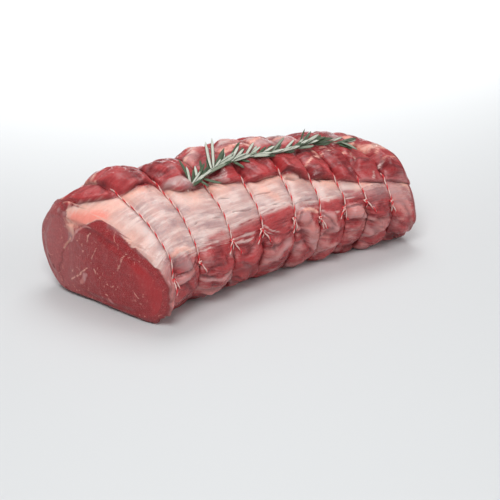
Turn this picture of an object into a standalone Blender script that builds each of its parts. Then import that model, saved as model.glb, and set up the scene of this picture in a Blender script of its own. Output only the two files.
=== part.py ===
"""A rolled and tied beef joint with nine loops of twine and a sprig of rosemary.

The meat is one closed skin. A sphere primitive is pulled over a row of cross sections that runs
from the cut face at -X to the small end at +X. Each section has a front foot on the ground, a
front side, a crest, a back side and a back foot, joined by four rounded quadrants. A point of the
skin is given by its place along the joint (metres) and by a turn number: 0 at the front foot,
1 at the front side, 2 at the crest, 3 at the back side, 4 at the back foot, 5 back at the start.
"""
import math
import random
from collections import namedtuple

import bmesh
import bpy
import numpy as np
from mathutils import Vector, noise

NAME = "tied_beef_joint"

# Middle of the finished part's footprint, in the frame in which the sections are written.
CENTRE = Vector((-0.0240, 0.0016, 0.0))

# The sections from the cut face to the small end. lean is how far a section turns with the oblique
# face, and the last four values are the roundness of the quadrants (2 is an ellipse).
Section = namedtuple(
    "Section",
    "along lean front front_z crest_y crest_z back back_z foot_front foot_back "
    "round_0 round_1 round_2 round_3",
)
SECTIONS = (
    Section(-0.165, 0.356, -0.0670, 0.040, 0.025, 0.0850, 0.0685, 0.043, -0.040, 0.036, 2.3, 1.60, 2.4, 2.1),
    Section(-0.144, 0.176, -0.0645, 0.048, 0.032, 0.0985, 0.0690, 0.046, -0.036, 0.040, 1.6, 1.95, 2.2, 2.1),
    Section(-0.105, 0.030, -0.0605, 0.052, 0.036, 0.1000, 0.0690, 0.050, -0.034, 0.042, 1.4, 2.00, 2.0, 2.0),
    Section(-0.065, 0.000, -0.0580, 0.047, 0.036, 0.0990, 0.0690, 0.050, -0.034, 0.042, 1.4, 2.00, 2.0, 2.0),
    Section(0.002, 0.000, -0.0575, 0.054, 0.036, 0.0960, 0.0670, 0.049, -0.032, 0.042, 1.4, 2.05, 2.0, 2.0),
    Section(0.057, 0.000, -0.0605, 0.050, 0.034, 0.0880, 0.0650, 0.047, -0.036, 0.040, 1.5, 2.10, 2.0, 2.0),
    Section(0.107, 0.000, -0.0680, 0.050, 0.028, 0.0815, 0.0610, 0.045, -0.042, 0.036, 1.6, 2.20, 2.1, 2.0),
    Section(0.138, 0.000, -0.0660, 0.038, 0.008, 0.0760, 0.0550, 0.042, -0.044, 0.030, 1.9, 2.70, 2.2, 2.0),
)
FACE_ALONG = SECTIONS[0].along
END_ALONG = SECTIONS[-1].along

# Metres of skin from the front foot to the front side, which is one turn number.
FRONT_FOOT_ARC = 0.060

# The twine: where its loops run, and at which turn number each is knotted.
LOOPS = (-0.144, -0.105, -0.065, -0.033, 0.002, 0.030, 0.057, 0.080, 0.107)
KNOT_TURNS = (0.98, 1.02, 1.16, 1.15, 1.12, 1.06, 1.13, 1.16, 1.08)
TWINE_R = 0.00075
TWINE_GAP = 0.0004
GROOVE_HALF = 0.0014
KNOT_R = 0.0019
KNOT_SIDES = 6
TAIL_LENGTH = 0.013
TAIL_POINTS = 4
TAIL_LIFT = 0.0018
# Twine tails of each knot, in degrees from straight down: positive leans towards the small end.
TAIL_ANGLES = ((-25, 40), (30,), (-45, 40), (-50, 35), (8,), (5,), (-60, 15), (20,), (-8, 12))

# How far the meat swells between two loops: (turn number, height).
SWELL = (
    (0.0, 0.0030), (0.25, 0.0045), (0.6, 0.0070), (0.95, 0.0050), (1.12, 0.0016), (1.4, 0.0012),
    (1.7, 0.0030), (2.1, 0.0036), (3.0, 0.0036), (3.6, 0.0042), (4.0, 0.0030), (5.0, 0.0030),
)
# Creases that split the lower lobes: the turn number of each lobe's crease from the cut face on.
CREASES = (0.45, 0.30, 0.52, 0.62, 0.40, 0.66, 0.48, 0.35, 0.60, 0.45)
CREASE_DEPTH = 0.0030
CREASE_WIDTH = 0.07
SWELL_POWER = 0.5
# The outer two lobes reach past the ends by this much, and the first is calm beside the cut face.
END_LOBE_REACH = 0.012
FACE_CALM = 0.008
SWELL_VARIES = 0.30
LOBE_WAVES = (2.1, 1.3)
TURN_WAVES = (4.0, 2.0)
GROUND_GAP = 0.0026

# The seam where the top muscle overlaps the side: (along, turn number), and its step.
SEAM = (
    (-0.165, 1.98), (-0.144, 1.86), (-0.080, 1.71), (-0.032, 1.60), (0.012, 1.54), (0.060, 1.43),
    (0.108, 1.35), (0.138, 1.32),
)
SEAM_STEP = 0.0050
SEAM_STEP_AT_LOOP = 0.35
SEAM_WIDTH = 0.035
SEAM_ENDS = (2.7, 3.3)

# The cut face: its bow along X, the two muscles that bulge from it, and the fatty dip between them
# (middle y and z, half sizes, height).
FACE_BOW = 0.006
FACE_BOW_Y = -0.008
FACE_BOW_HALF = 0.070
FACE_REACH = 0.040
FACE_SHAPES = (
    (-0.014, 0.038, 0.054, 0.044, 0.0055),
    (0.053, 0.044, 0.019, 0.042, 0.0040),
    (0.020, 0.086, 0.020, 0.016, -0.0040),
)
FACE_EDGE = 0.0016
END_ROUND = 0.011
END_DOME = 0.004
END_DOME_HALF = (0.050, 0.035)

# Knobbly relief: (wave length, height).
RELIEF = ((0.034, 0.0015), (0.013, 0.0005))
FLANK_CALM = 0.25
FLANK_STARTS = (1.0, 1.2)
FLANK_STOPS = 0.05
MEAN_ARC = 0.080
# Step, as a turn number, over which the outline's direction is measured.
NUDGE = 0.001
LOBE_SHIFT = 7.3

# The mesh. Columns run in six stretches round a section: up the front, the side, the seam's step,
# over the top, down the back and along the ground. Rings stand at these steps from each loop.
COLUMNS = (9, 8, 2, 14, 7, 8)
RING_STEPS = (GROOVE_HALF, 0.0036, 0.0090)
RING_ROOM = 0.0065
FACE_RINGS = (0.3, 0.6, 0.86)
END_RINGS = (0.35, 0.7)
END_ROUND_RINGS = (30.0, 60.0)

# The sprig: its route (along, turn number), the layer it lies in, and its leaves.
SPRIG = (
    (-0.086, 1.63), (-0.078, 1.67), (-0.053, 1.75), (-0.026, 1.80), (-0.002, 1.81), (0.019, 1.79),
    (0.047, 1.82), (0.070, 1.86), (0.092, 1.80),
)
SPRIG_HEIGHT = 0.0106
SPRIG_BASE_HEIGHT = 0.0060
SPRIG_RISES_BY = 0.14
SPRIG_PROBE = 0.001
SPRIG_POINTS = 15
SPRIG_R = (0.0014, 0.0006)
LEAF_PAIRS = 24
LEAF_LENGTH = (0.026, 0.017)
LEAF_WIDTH = 0.0025
LEAF_THICK = 0.0013
LEAF_OPENS = (62.0, 30.0)
LEAF_LIFTS = (-4.0, 40.0)
LEAF_STATIONS = ((0.18, 0.85), (0.72, 1.0))
LEAF_BEND = 0.10
LEAF_ROLL = 0.2
FIRST_LEAVES = 0.045
OPENS_VARY = (0.7, 1.2)
LIFT_VARIES = 24.0
LENGTH_VARIES = (0.8, 1.1)
FINE_POINTS = 200
SEED = 7

MEAT_RED = (0.36, 0.045, 0.050)
TWINE_PINK = (0.78, 0.50, 0.48)
LEAF_GREEN = (0.13, 0.20, 0.11)


def clear_scene():
    """Remove the objects that a new file starts with."""
    for item in list(bpy.data.objects):
        bpy.data.objects.remove(item, do_unlink=True)


def make_collection(name, hidden=False):
    """Make a collection in the scene; a hidden one holds helpers only."""
    group = bpy.data.collections.new(name)
    group.hide_render = hidden
    bpy.context.scene.collection.children.link(group)
    return group


def make_material(name, colour, roughness):
    """Make a plain finish."""
    finish = bpy.data.materials.new(name)
    finish.use_nodes = True
    shader = finish.node_tree.nodes["Principled BSDF"]
    shader.inputs["Base Color"].default_value = (*colour, 1.0)
    shader.inputs["Roughness"].default_value = roughness
    shader.inputs["Metallic"].default_value = 0.0
    finish.diffuse_color = (*colour, 1.0)
    return finish


def ramp(low, high, x):
    """Rise smoothly from 0 at low to 1 at high."""
    t = np.clip((x - low) / (high - low), 0.0, 1.0)
    return t * t * (3.0 - 2.0 * t)


def curve_through(x, xs, ys):
    """Read a smooth curve through the points (xs, ys)."""
    xs = np.asarray(xs, float)
    ys = np.asarray(ys, float)
    slope = np.gradient(ys, xs)
    i = np.clip(np.searchsorted(xs, x) - 1, 0, len(xs) - 2)
    span = xs[i + 1] - xs[i]
    t = np.clip((x - xs[i]) / span, 0.0, 1.0)
    start = (1.0 + 2.0 * t) * (1.0 - t) ** 2 * ys[i] + t * (1.0 - t) ** 2 * span * slope[i]
    stop = t * t * (3.0 - 2.0 * t) * ys[i + 1] + t * t * (t - 1.0) * span * slope[i + 1]
    return start + stop


def section_at(along):
    """Blend the named sections to one place along the joint."""
    places = [s.along for s in SECTIONS]
    fields = range(len(Section._fields))
    return Section(*(curve_through(along, places, [s[k] for s in SECTIONS]) for k in fields))


def quadrant(turn, roundness):
    """Give the two weights, 1 to 0 and 0 to 1, of a rounded quadrant at a fraction of its turn."""
    angle = turn * math.pi / 2.0
    power = 2.0 / roundness
    return np.maximum(np.cos(angle), 0.0) ** power, np.maximum(np.sin(angle), 0.0) ** power


def outline(along, turn):
    """Give lean, y and z of the bare section outline."""
    s = section_at(along)
    turn = np.mod(turn, 5.0)
    zone = np.floor(turn).astype(int)
    part = turn - zone
    low = GROUND_GAP
    fall_0, rise_0 = quadrant(part, s.round_0)
    fall_1, rise_1 = quadrant(part, s.round_1)
    fall_2, rise_2 = quadrant(part, s.round_2)
    fall_3, rise_3 = quadrant(part, s.round_3)
    y = np.choose(zone, (
        s.foot_front + (s.front - s.foot_front) * rise_0,
        s.crest_y + (s.front - s.crest_y) * fall_1,
        s.crest_y + (s.back - s.crest_y) * rise_2,
        s.foot_back + (s.back - s.foot_back) * fall_3,
        s.foot_back + (s.foot_front - s.foot_back) * part,
    ))
    z = np.choose(zone, (
        s.front_z + (low - s.front_z) * fall_0,
        s.front_z + (s.crest_z - s.front_z) * rise_1,
        s.back_z + (s.crest_z - s.back_z) * fall_2,
        s.back_z + (low - s.back_z) * rise_3,
        low + 0.0 * part,
    ))
    return s.lean, y, z


def between_loops(along):
    """Give 0 in a loop's groove and up to 1 half way to the next loop, and the lobe's number."""
    edges = np.array((FACE_ALONG - END_LOBE_REACH,) + LOOPS + (END_ALONG + END_LOBE_REACH,))
    lobe = np.clip(np.searchsorted(edges, along) - 1, 0, len(edges) - 2)
    low = edges[lobe] + GROOVE_HALF
    high = edges[lobe + 1] - GROOVE_HALF
    t = np.clip((along - low) / (high - low), 0.0, 1.0)
    arch = (4.0 * t * (1.0 - t)) ** SWELL_POWER
    return arch * (1.0 - ramp(FACE_ALONG + FACE_CALM, FACE_ALONG, along)), lobe


def lumps(along, turn, number, size):
    """Sample smooth noise on the joint's own coordinates."""
    points = zip((along / size).tolist(), (turn * MEAN_ARC / size).tolist(), number.tolist())
    return np.array([noise.noise(Vector((a, t, LOBE_SHIFT * n))) for a, t, n in points])


def height(along, turn):
    """Give how far the skin stands outside the bare outline."""
    arch, lobe = between_loops(along)
    turn = np.mod(turn, 5.0)
    swell = np.interp(turn, [s[0] for s in SWELL], [s[1] for s in SWELL])
    uneven = np.sin(LOBE_WAVES[0] * lobe + TURN_WAVES[0] * turn)
    uneven = SWELL_VARIES * uneven * np.sin(LOBE_WAVES[1] * lobe - TURN_WAVES[1] * turn)
    own = 1.0 + uneven
    seam = seam_turn(along)
    over = ramp(seam - SEAM_WIDTH / 3.0, seam + SEAM_WIDTH, turn)
    over = over * ramp(SEAM_ENDS[1], SEAM_ENDS[0], turn)
    step = SEAM_STEP * over * (SEAM_STEP_AT_LOOP + (1.0 - SEAM_STEP_AT_LOOP) * arch)
    rough = sum(lumps(along, turn, lobe, size) * tall for size, tall in RELIEF)
    crease = np.exp(-((turn - np.take(CREASES, lobe)) / CREASE_WIDTH) ** 2) * CREASE_DEPTH
    flank = ramp(FLANK_STARTS[0], FLANK_STARTS[1], turn) * (1.0 - ramp(seam - FLANK_STOPS, seam, turn))
    return (swell * own - crease) * arch + step + rough * arch * (1.0 - (1.0 - FLANK_CALM) * flank)


def skin(along, turn, inset=0.0, lift=None):
    """Place points of the skin, or of a smooth layer at a given lift above the bare outline."""
    given = [np.atleast_1d(value).astype(float) for value in (along, turn, inset)]
    along, turn, inset = np.broadcast_arrays(*given)
    lean, y, z = outline(along, turn)
    _, y_before, z_before = outline(along, turn - NUDGE)
    _, y_after, z_after = outline(along, turn + NUDGE)
    normal_y = z_before - z_after
    normal_z = y_after - y_before
    size = np.hypot(normal_y, normal_z) + 1e-12
    out = (height(along, turn) if lift is None else lift) - inset
    y = y + normal_y / size * out
    z = z + normal_z / size * out
    if lift is None:
        z = np.maximum(z, 0.0)
    bow = np.maximum(1.0 - ((y - FACE_BOW_Y) / FACE_BOW_HALF) ** 2, 0.0)
    x = along - lean * y - FACE_BOW * bow * ramp(FACE_ALONG + FACE_REACH, FACE_ALONG, along)
    return np.stack((x, y, z), axis=-1)


def seam_turn(along):
    """Give the turn number of the seam."""
    return curve_through(along, [s[0] for s in SEAM], [s[1] for s in SEAM])


def column_turns(along):
    """List the turn numbers of the mesh's columns, which follow the seam along the joint."""
    seam = float(seam_turn(along))
    edges = (0.0, 1.0, seam - SEAM_WIDTH / 3.0, seam + SEAM_WIDTH, 3.0, 4.0, 5.0)
    turns = []
    for low, high, count in zip(edges[:-1], edges[1:], COLUMNS):
        turns.extend(low + (high - low) * step / count for step in range(count))
    return np.array(turns)


def ring_places():
    """List where rings stand along the joint, close together beside each loop."""
    edges = (FACE_ALONG,) + LOOPS + (END_ALONG - END_ROUND,)
    places = {FACE_ALONG + FACE_EDGE, END_ALONG - END_ROUND}
    for low, high in zip(edges[:-1], edges[1:]):
        half = (high - low) / 2.0
        for step in RING_STEPS:
            if step < half - RING_ROOM:
                if low in LOOPS:
                    places.add(low + step)
                if high in LOOPS:
                    places.add(high - step)
        places.add(low + half)
    return sorted(places)


def face_relief(y, z):
    """Give how far the cut muscles bulge from the plane of the face."""
    out = 0.0
    for mid_y, mid_z, half_y, half_z, tall in FACE_SHAPES:
        inside = 1.0 - ((y - mid_y) / half_y) ** 2 - ((z - mid_z) / half_z) ** 2
        out = out + tall * np.maximum(inside, 0.0)
    return out


def cap_rings(rim, fractions, outwards, relief):
    """Shrink a rim to its middle in steps; the last entry is the middle point itself."""
    middle = rim.mean(axis=0)
    rings = []
    for fraction in fractions:
        ring = middle + (rim - middle) * fraction
        ring[:, 0] += outwards * relief(ring[:, 1], ring[:, 2])
        rings.append(ring)
    return rings


def meat_rings():
    """Compute every ring of the meat from the middle of the face to the middle of the end."""
    rim = skin(FACE_ALONG, column_turns(FACE_ALONG), FACE_EDGE)
    rings = cap_rings(rim, (0.0,) + FACE_RINGS, -1.0, face_relief)
    rings.append(rim)
    rings.extend(skin(place, column_turns(place)) for place in ring_places())
    for degrees in END_ROUND_RINGS:
        angle = math.radians(degrees)
        place = END_ALONG - END_ROUND * (1.0 - math.sin(angle))
        rings.append(skin(place, column_turns(place), END_ROUND * (1.0 - math.cos(angle))))
    rim = skin(END_ALONG, column_turns(END_ALONG), END_ROUND)
    rings.append(rim)

    def dome(y, z):
        across = (y - rim[:, 1].mean()) / END_DOME_HALF[0]
        upright = (z - rim[:, 2].mean()) / END_DOME_HALF[1]
        return END_DOME * np.maximum(1.0 - across**2 - upright**2, 0.0)

    rings.extend(cap_rings(rim, END_RINGS[::-1] + (0.0,), 1.0, dome))
    return rings


def build_meat(group, finish):
    """Pull a sphere over the rings."""
    rings = meat_rings()
    columns = sum(COLUMNS)
    shape = bmesh.new()
    bmesh.ops.create_uvsphere(shape, u_segments=columns, v_segments=len(rings) - 1, radius=1.0)
    for vert in shape.verts:
        row = round(math.acos(max(-1.0, min(1.0, vert.co.z))) / math.pi * (len(rings) - 1))
        column = round(math.atan2(vert.co.y, vert.co.x) / (2.0 * math.pi) * columns) % columns
        vert.co = Vector(rings[row][column])
    bmesh.ops.triangulate(shape, faces=shape.faces[:])
    bmesh.ops.recalc_face_normals(shape, faces=shape.faces[:])
    return finish_mesh("beef", shape, group, finish)


def finish_mesh(name, shape, group, finish):
    """Turn a bmesh into a smooth-shaded object with one finish."""
    mesh = bpy.data.meshes.new(name)
    shape.to_mesh(mesh)
    shape.free()
    mesh.shade_smooth()
    mesh.materials.append(finish)
    item = bpy.data.objects.new(name, mesh)
    group.objects.link(item)
    return item


def tube(name, points, radii, group, cyclic=False, rounding=0):
    """Sweep a tube along points and return it as a closed mesh object."""
    line = bpy.data.curves.new(name, "CURVE")
    line.dimensions = "3D"
    line.bevel_depth = 1.0
    line.bevel_resolution = rounding
    line.use_fill_caps = not cyclic
    spline = line.splines.new("POLY")
    spline.points.add(len(points) - 1)
    spline.use_cyclic_u = cyclic
    for point, place, radius in zip(spline.points, points, radii):
        point.co = (*place, 1.0)
        point.radius = radius
    guide = bpy.data.objects.new(name + "_line", line)
    group.objects.link(guide)
    bpy.context.view_layer.update()
    mesh = bpy.data.meshes.new_from_object(guide.evaluated_get(bpy.context.evaluated_depsgraph_get()))
    bpy.data.objects.remove(guide, do_unlink=True)
    shape = bmesh.new()
    shape.from_mesh(mesh)
    bpy.data.meshes.remove(mesh)
    bmesh.ops.remove_doubles(shape, verts=shape.verts[:], dist=1e-6)
    bmesh.ops.recalc_face_normals(shape, faces=shape.faces[:])
    mesh = bpy.data.meshes.new(name)
    shape.to_mesh(mesh)
    shape.free()
    item = bpy.data.objects.new(name, mesh)
    group.objects.link(item)
    return item


def fuse(base, pieces, helpers):
    """Join the pieces to the base by one Boolean union and remove them."""
    bundle = bpy.data.collections.new(base.name + "_pieces")
    helpers.children.link(bundle)
    for piece in pieces:
        for group in list(piece.users_collection):
            group.objects.unlink(piece)
        bundle.objects.link(piece)
    union = base.modifiers.new("union", "BOOLEAN")
    union.operation = "UNION"
    union.operand_type = "COLLECTION"
    union.collection = bundle
    union.solver = "MANIFOLD"
    bpy.context.view_layer.update()
    mesh = bpy.data.meshes.new_from_object(base.evaluated_get(bpy.context.evaluated_depsgraph_get()))
    base.modifiers.remove(union)
    old = base.data
    base.data = mesh
    bpy.data.meshes.remove(old)
    for piece in pieces:
        bpy.data.objects.remove(piece, do_unlink=True)
    bpy.data.collections.remove(bundle)


def blob(name, place, radius, group):
    """Make a small round knot."""
    shape = bmesh.new()
    bmesh.ops.create_uvsphere(shape, u_segments=KNOT_SIDES, v_segments=KNOT_SIDES - 1, radius=radius)
    bmesh.ops.translate(shape, verts=shape.verts[:], vec=place)
    mesh = bpy.data.meshes.new(name)
    shape.to_mesh(mesh)
    shape.free()
    item = bpy.data.objects.new(name, mesh)
    group.objects.link(item)
    return item


def tail_points(loop, knot_turn, degrees):
    """Lay a tail of twine on the lobes below a knot."""
    along = loop
    turn = knot_turn
    reach = TAIL_LENGTH / (TAIL_POINTS - 1)
    points = [skin(loop, knot_turn, -(TWINE_GAP + KNOT_R))[0]]
    for step in range(1, TAIL_POINTS):
        along = along + reach * math.sin(math.radians(degrees))
        turn = turn - reach * math.cos(math.radians(degrees)) / FRONT_FOOT_ARC
        points.append(skin(along, turn, -(TWINE_GAP + TWINE_R + TAIL_LIFT))[0])
    return points


def build_twine(number, group, helpers, finish):
    """Tie one loop of twine, with its knot and tails."""
    loop = LOOPS[number]
    turns = column_turns(loop)
    ring = skin(loop, turns, -(TWINE_GAP + TWINE_R))
    ring[:, 2] = np.maximum(ring[:, 2], TWINE_R + TWINE_GAP)
    twine = tube(f"string_{number + 1}", ring, [TWINE_R] * len(ring), group, cyclic=True)
    knot_turn = KNOT_TURNS[number]
    centre = skin(loop, knot_turn, -(TWINE_GAP + KNOT_R))[0]
    pieces = [blob("knot", Vector(centre), KNOT_R, helpers)]
    for degrees in TAIL_ANGLES[number]:
        points = tail_points(loop, knot_turn, degrees)
        pieces.append(tube("tail", points, [TWINE_R] * len(points), helpers))
    fuse(twine, pieces, helpers)
    dress(twine, finish)
    return twine


def dress(item, finish):
    """Give an object its one finish and smooth shading."""
    item.data.materials.clear()
    item.data.materials.append(finish)
    item.data.shade_smooth()


def leaf(name, base, direction, flat, length, bend, group):
    """Make one narrow leaf: four-sided rings between two points."""
    out = direction.cross(flat).normalized()
    rows = []
    for part, wide in LEAF_STATIONS:
        middle = base + direction * (length * part) + out * (bend * length * part * part)
        across = flat * (LEAF_WIDTH / 2.0 * wide)
        up = out * (LEAF_THICK / 2.0 * wide)
        rows.append((middle + across, middle + up, middle - across, middle - up))
    tip = base + direction * length + out * (bend * length)
    shape = bmesh.new()
    bmesh.ops.create_uvsphere(shape, u_segments=4, v_segments=len(rows) + 1, radius=1.0)
    for vert in shape.verts:
        row = round(math.acos(max(-1.0, min(1.0, vert.co.z))) / math.pi * (len(rows) + 1))
        column = round(math.atan2(vert.co.y, vert.co.x) / (math.pi / 2.0)) % 4
        if row == 0:
            vert.co = base - direction * (LEAF_WIDTH / 4.0)
        elif row == len(rows) + 1:
            vert.co = tip
        else:
            vert.co = rows[row - 1][column]
    bmesh.ops.triangulate(shape, faces=shape.faces[:])
    bmesh.ops.recalc_face_normals(shape, faces=shape.faces[:])
    mesh = bpy.data.meshes.new(name)
    shape.to_mesh(mesh)
    shape.free()
    item = bpy.data.objects.new(name, mesh)
    group.objects.link(item)
    return item


def sprig_line(count):
    """Read points of the stem from a smooth curve through its route."""
    s = np.linspace(0.0, 1.0, count)
    knots = np.linspace(0.0, 1.0, len(SPRIG))
    along = curve_through(s, knots, [p[0] for p in SPRIG])
    turn = curve_through(s, knots, [p[1] for p in SPRIG])
    lift = SPRIG_BASE_HEIGHT + (SPRIG_HEIGHT - SPRIG_BASE_HEIGHT) * ramp(0.0, SPRIG_RISES_BY, s)
    return skin(along, turn, 0.0, lift), skin(along, turn, 0.0, lift + SPRIG_PROBE)


def build_sprig(group, helpers, finish):
    """Make the stem and set leaves in pairs along it, opening towards its tip."""
    draw = random.Random(SEED)
    line, _ = sprig_line(SPRIG_POINTS)
    radii = np.linspace(SPRIG_R[0], SPRIG_R[1], SPRIG_POINTS)
    stem = tube("rosemary", line, radii, group, rounding=1)
    fine, fine_above = sprig_line(FINE_POINTS)
    leaves = []
    for pair in range(LEAF_PAIRS):
        s = FIRST_LEAVES + (1.0 - FIRST_LEAVES) * pair / (LEAF_PAIRS - 1)
        i = min(int(s * FINE_POINTS), FINE_POINTS - 2)
        base = Vector(fine[i])
        along = (Vector(fine[i + 1]) - base).normalized()
        up = (Vector(fine_above[i]) - base).normalized()
        side = along.cross(up).normalized()
        length = LEAF_LENGTH[0] + (LEAF_LENGTH[1] - LEAF_LENGTH[0]) * s
        opens = LEAF_OPENS[0] + (LEAF_OPENS[1] - LEAF_OPENS[0]) * s
        third = 1.0 if pair % 2 else -1.0
        for hand, lift in ((1.0, LEAF_LIFTS[0]), (-1.0, LEAF_LIFTS[0]), (third, LEAF_LIFTS[1])):
            open_by = math.radians(opens * draw.uniform(*OPENS_VARY))
            lift_by = math.radians(lift + draw.uniform(0.0, LIFT_VARIES))
            outwards = side * (hand * math.cos(lift_by)) + up * math.sin(lift_by)
            direction = (along * math.cos(open_by) + outwards * math.sin(open_by)).normalized()
            flat = direction.cross(up.lerp(outwards, LEAF_ROLL)).normalized()
            own = length * draw.uniform(*LENGTH_VARIES)
            bend = draw.uniform(0.0, LEAF_BEND)
            leaves.append(leaf("leaf", base, direction, flat, own, bend, helpers))
    fuse(stem, leaves, helpers)
    dress(stem, finish)
    return stem


def main():
    """Build the meat, the nine loops of twine and the sprig."""
    clear_scene()
    parts = make_collection(NAME)
    helpers = make_collection("helpers", hidden=True)
    root = bpy.data.objects.new("root", None)
    root.location = -CENTRE
    parts.objects.link(root)
    meat = make_material("raw_beef", MEAT_RED, 0.42)
    thread = make_material("butchers_twine", TWINE_PINK, 0.85)
    green = make_material("rosemary_leaf", LEAF_GREEN, 0.6)
    items = [build_meat(parts, meat)]
    for number in range(len(LOOPS)):
        items.append(build_twine(number, parts, helpers, thread))
    items.append(build_sprig(parts, helpers, green))
    for item in items:
        item.parent = root


main()
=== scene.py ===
"""A rolled raw beef joint, tied in nine loops of twine, with a sprig of rosemary on top.

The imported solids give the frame. The meat, the twine and the sprig are rebuilt here in detail in the
same places. A point of the meat's skin is named by its place along the joint in metres and by a turn
number: 0 at the front foot, 1 at the front side, 2 at the crest, 3 at the back side, 4 at the back
foot, and 5 back at the start.
"""

import logging
import math
import random
from collections.abc import Callable, Sequence
from dataclasses import dataclass, field
from enum import Enum

import bpy
import numpy as np
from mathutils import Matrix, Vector, noise


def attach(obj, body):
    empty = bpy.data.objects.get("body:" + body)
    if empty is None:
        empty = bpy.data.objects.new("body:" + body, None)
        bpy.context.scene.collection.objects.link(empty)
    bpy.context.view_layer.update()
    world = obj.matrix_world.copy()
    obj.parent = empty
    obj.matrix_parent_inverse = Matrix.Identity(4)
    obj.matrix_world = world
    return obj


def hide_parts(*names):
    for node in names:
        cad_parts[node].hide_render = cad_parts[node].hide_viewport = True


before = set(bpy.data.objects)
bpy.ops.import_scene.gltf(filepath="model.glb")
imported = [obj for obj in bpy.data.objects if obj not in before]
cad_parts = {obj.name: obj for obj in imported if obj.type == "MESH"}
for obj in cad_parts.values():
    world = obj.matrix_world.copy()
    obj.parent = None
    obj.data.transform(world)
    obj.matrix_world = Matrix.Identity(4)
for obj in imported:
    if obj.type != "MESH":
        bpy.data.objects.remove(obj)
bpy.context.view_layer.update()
LOG = logging.getLogger("beef_joint")

Colour = tuple[float, float, float]
Place = tuple[float, float]
Edges = tuple[float, float, float, float]
Array = np.ndarray
Part = tuple[Array, dict[str, Array], Array]
Item = bpy.types.Object
Material = bpy.types.Material
Node = bpy.types.Node
Socket = bpy.types.NodeSocket
Tree = bpy.types.NodeTree


class Tissue(Enum):
    """The kinds of tissue that patches of the meat are painted with. Grey and dark patches also carry painted
    shade, silver ones painted highlights.
    """

    FAT = "fat"
    SALMON = "salmon"
    SILVER_AND_HIGHLIGHT = "silver"
    GREY_AND_SHADE = "grey"
    PINK = "pink"
    RED = "red"
    DARK = "dark"
    BRIGHT = "bright"
    BLOOD = "blood"
    SPLIT = "split"
    GRISTLE = "gristle"


@dataclass(frozen=True)
class Section:
    """One cross section of the joint, in metres; the last four values round its quadrants."""

    along: float
    lean: float
    front: float
    front_z: float
    crest_y: float
    crest_z: float
    back: float
    back_z: float
    foot_front: float
    foot_back: float
    round_0: float
    round_1: float
    round_2: float
    round_3: float


@dataclass(frozen=True)
class Stroke:
    """A soft patch of tissue along a line: half width in mm, places, strength, and lift in mm."""

    tissue: Tissue
    half: float
    places: tuple[Place, ...]
    amount: float = 1.0
    lift: float = 0.0


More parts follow.
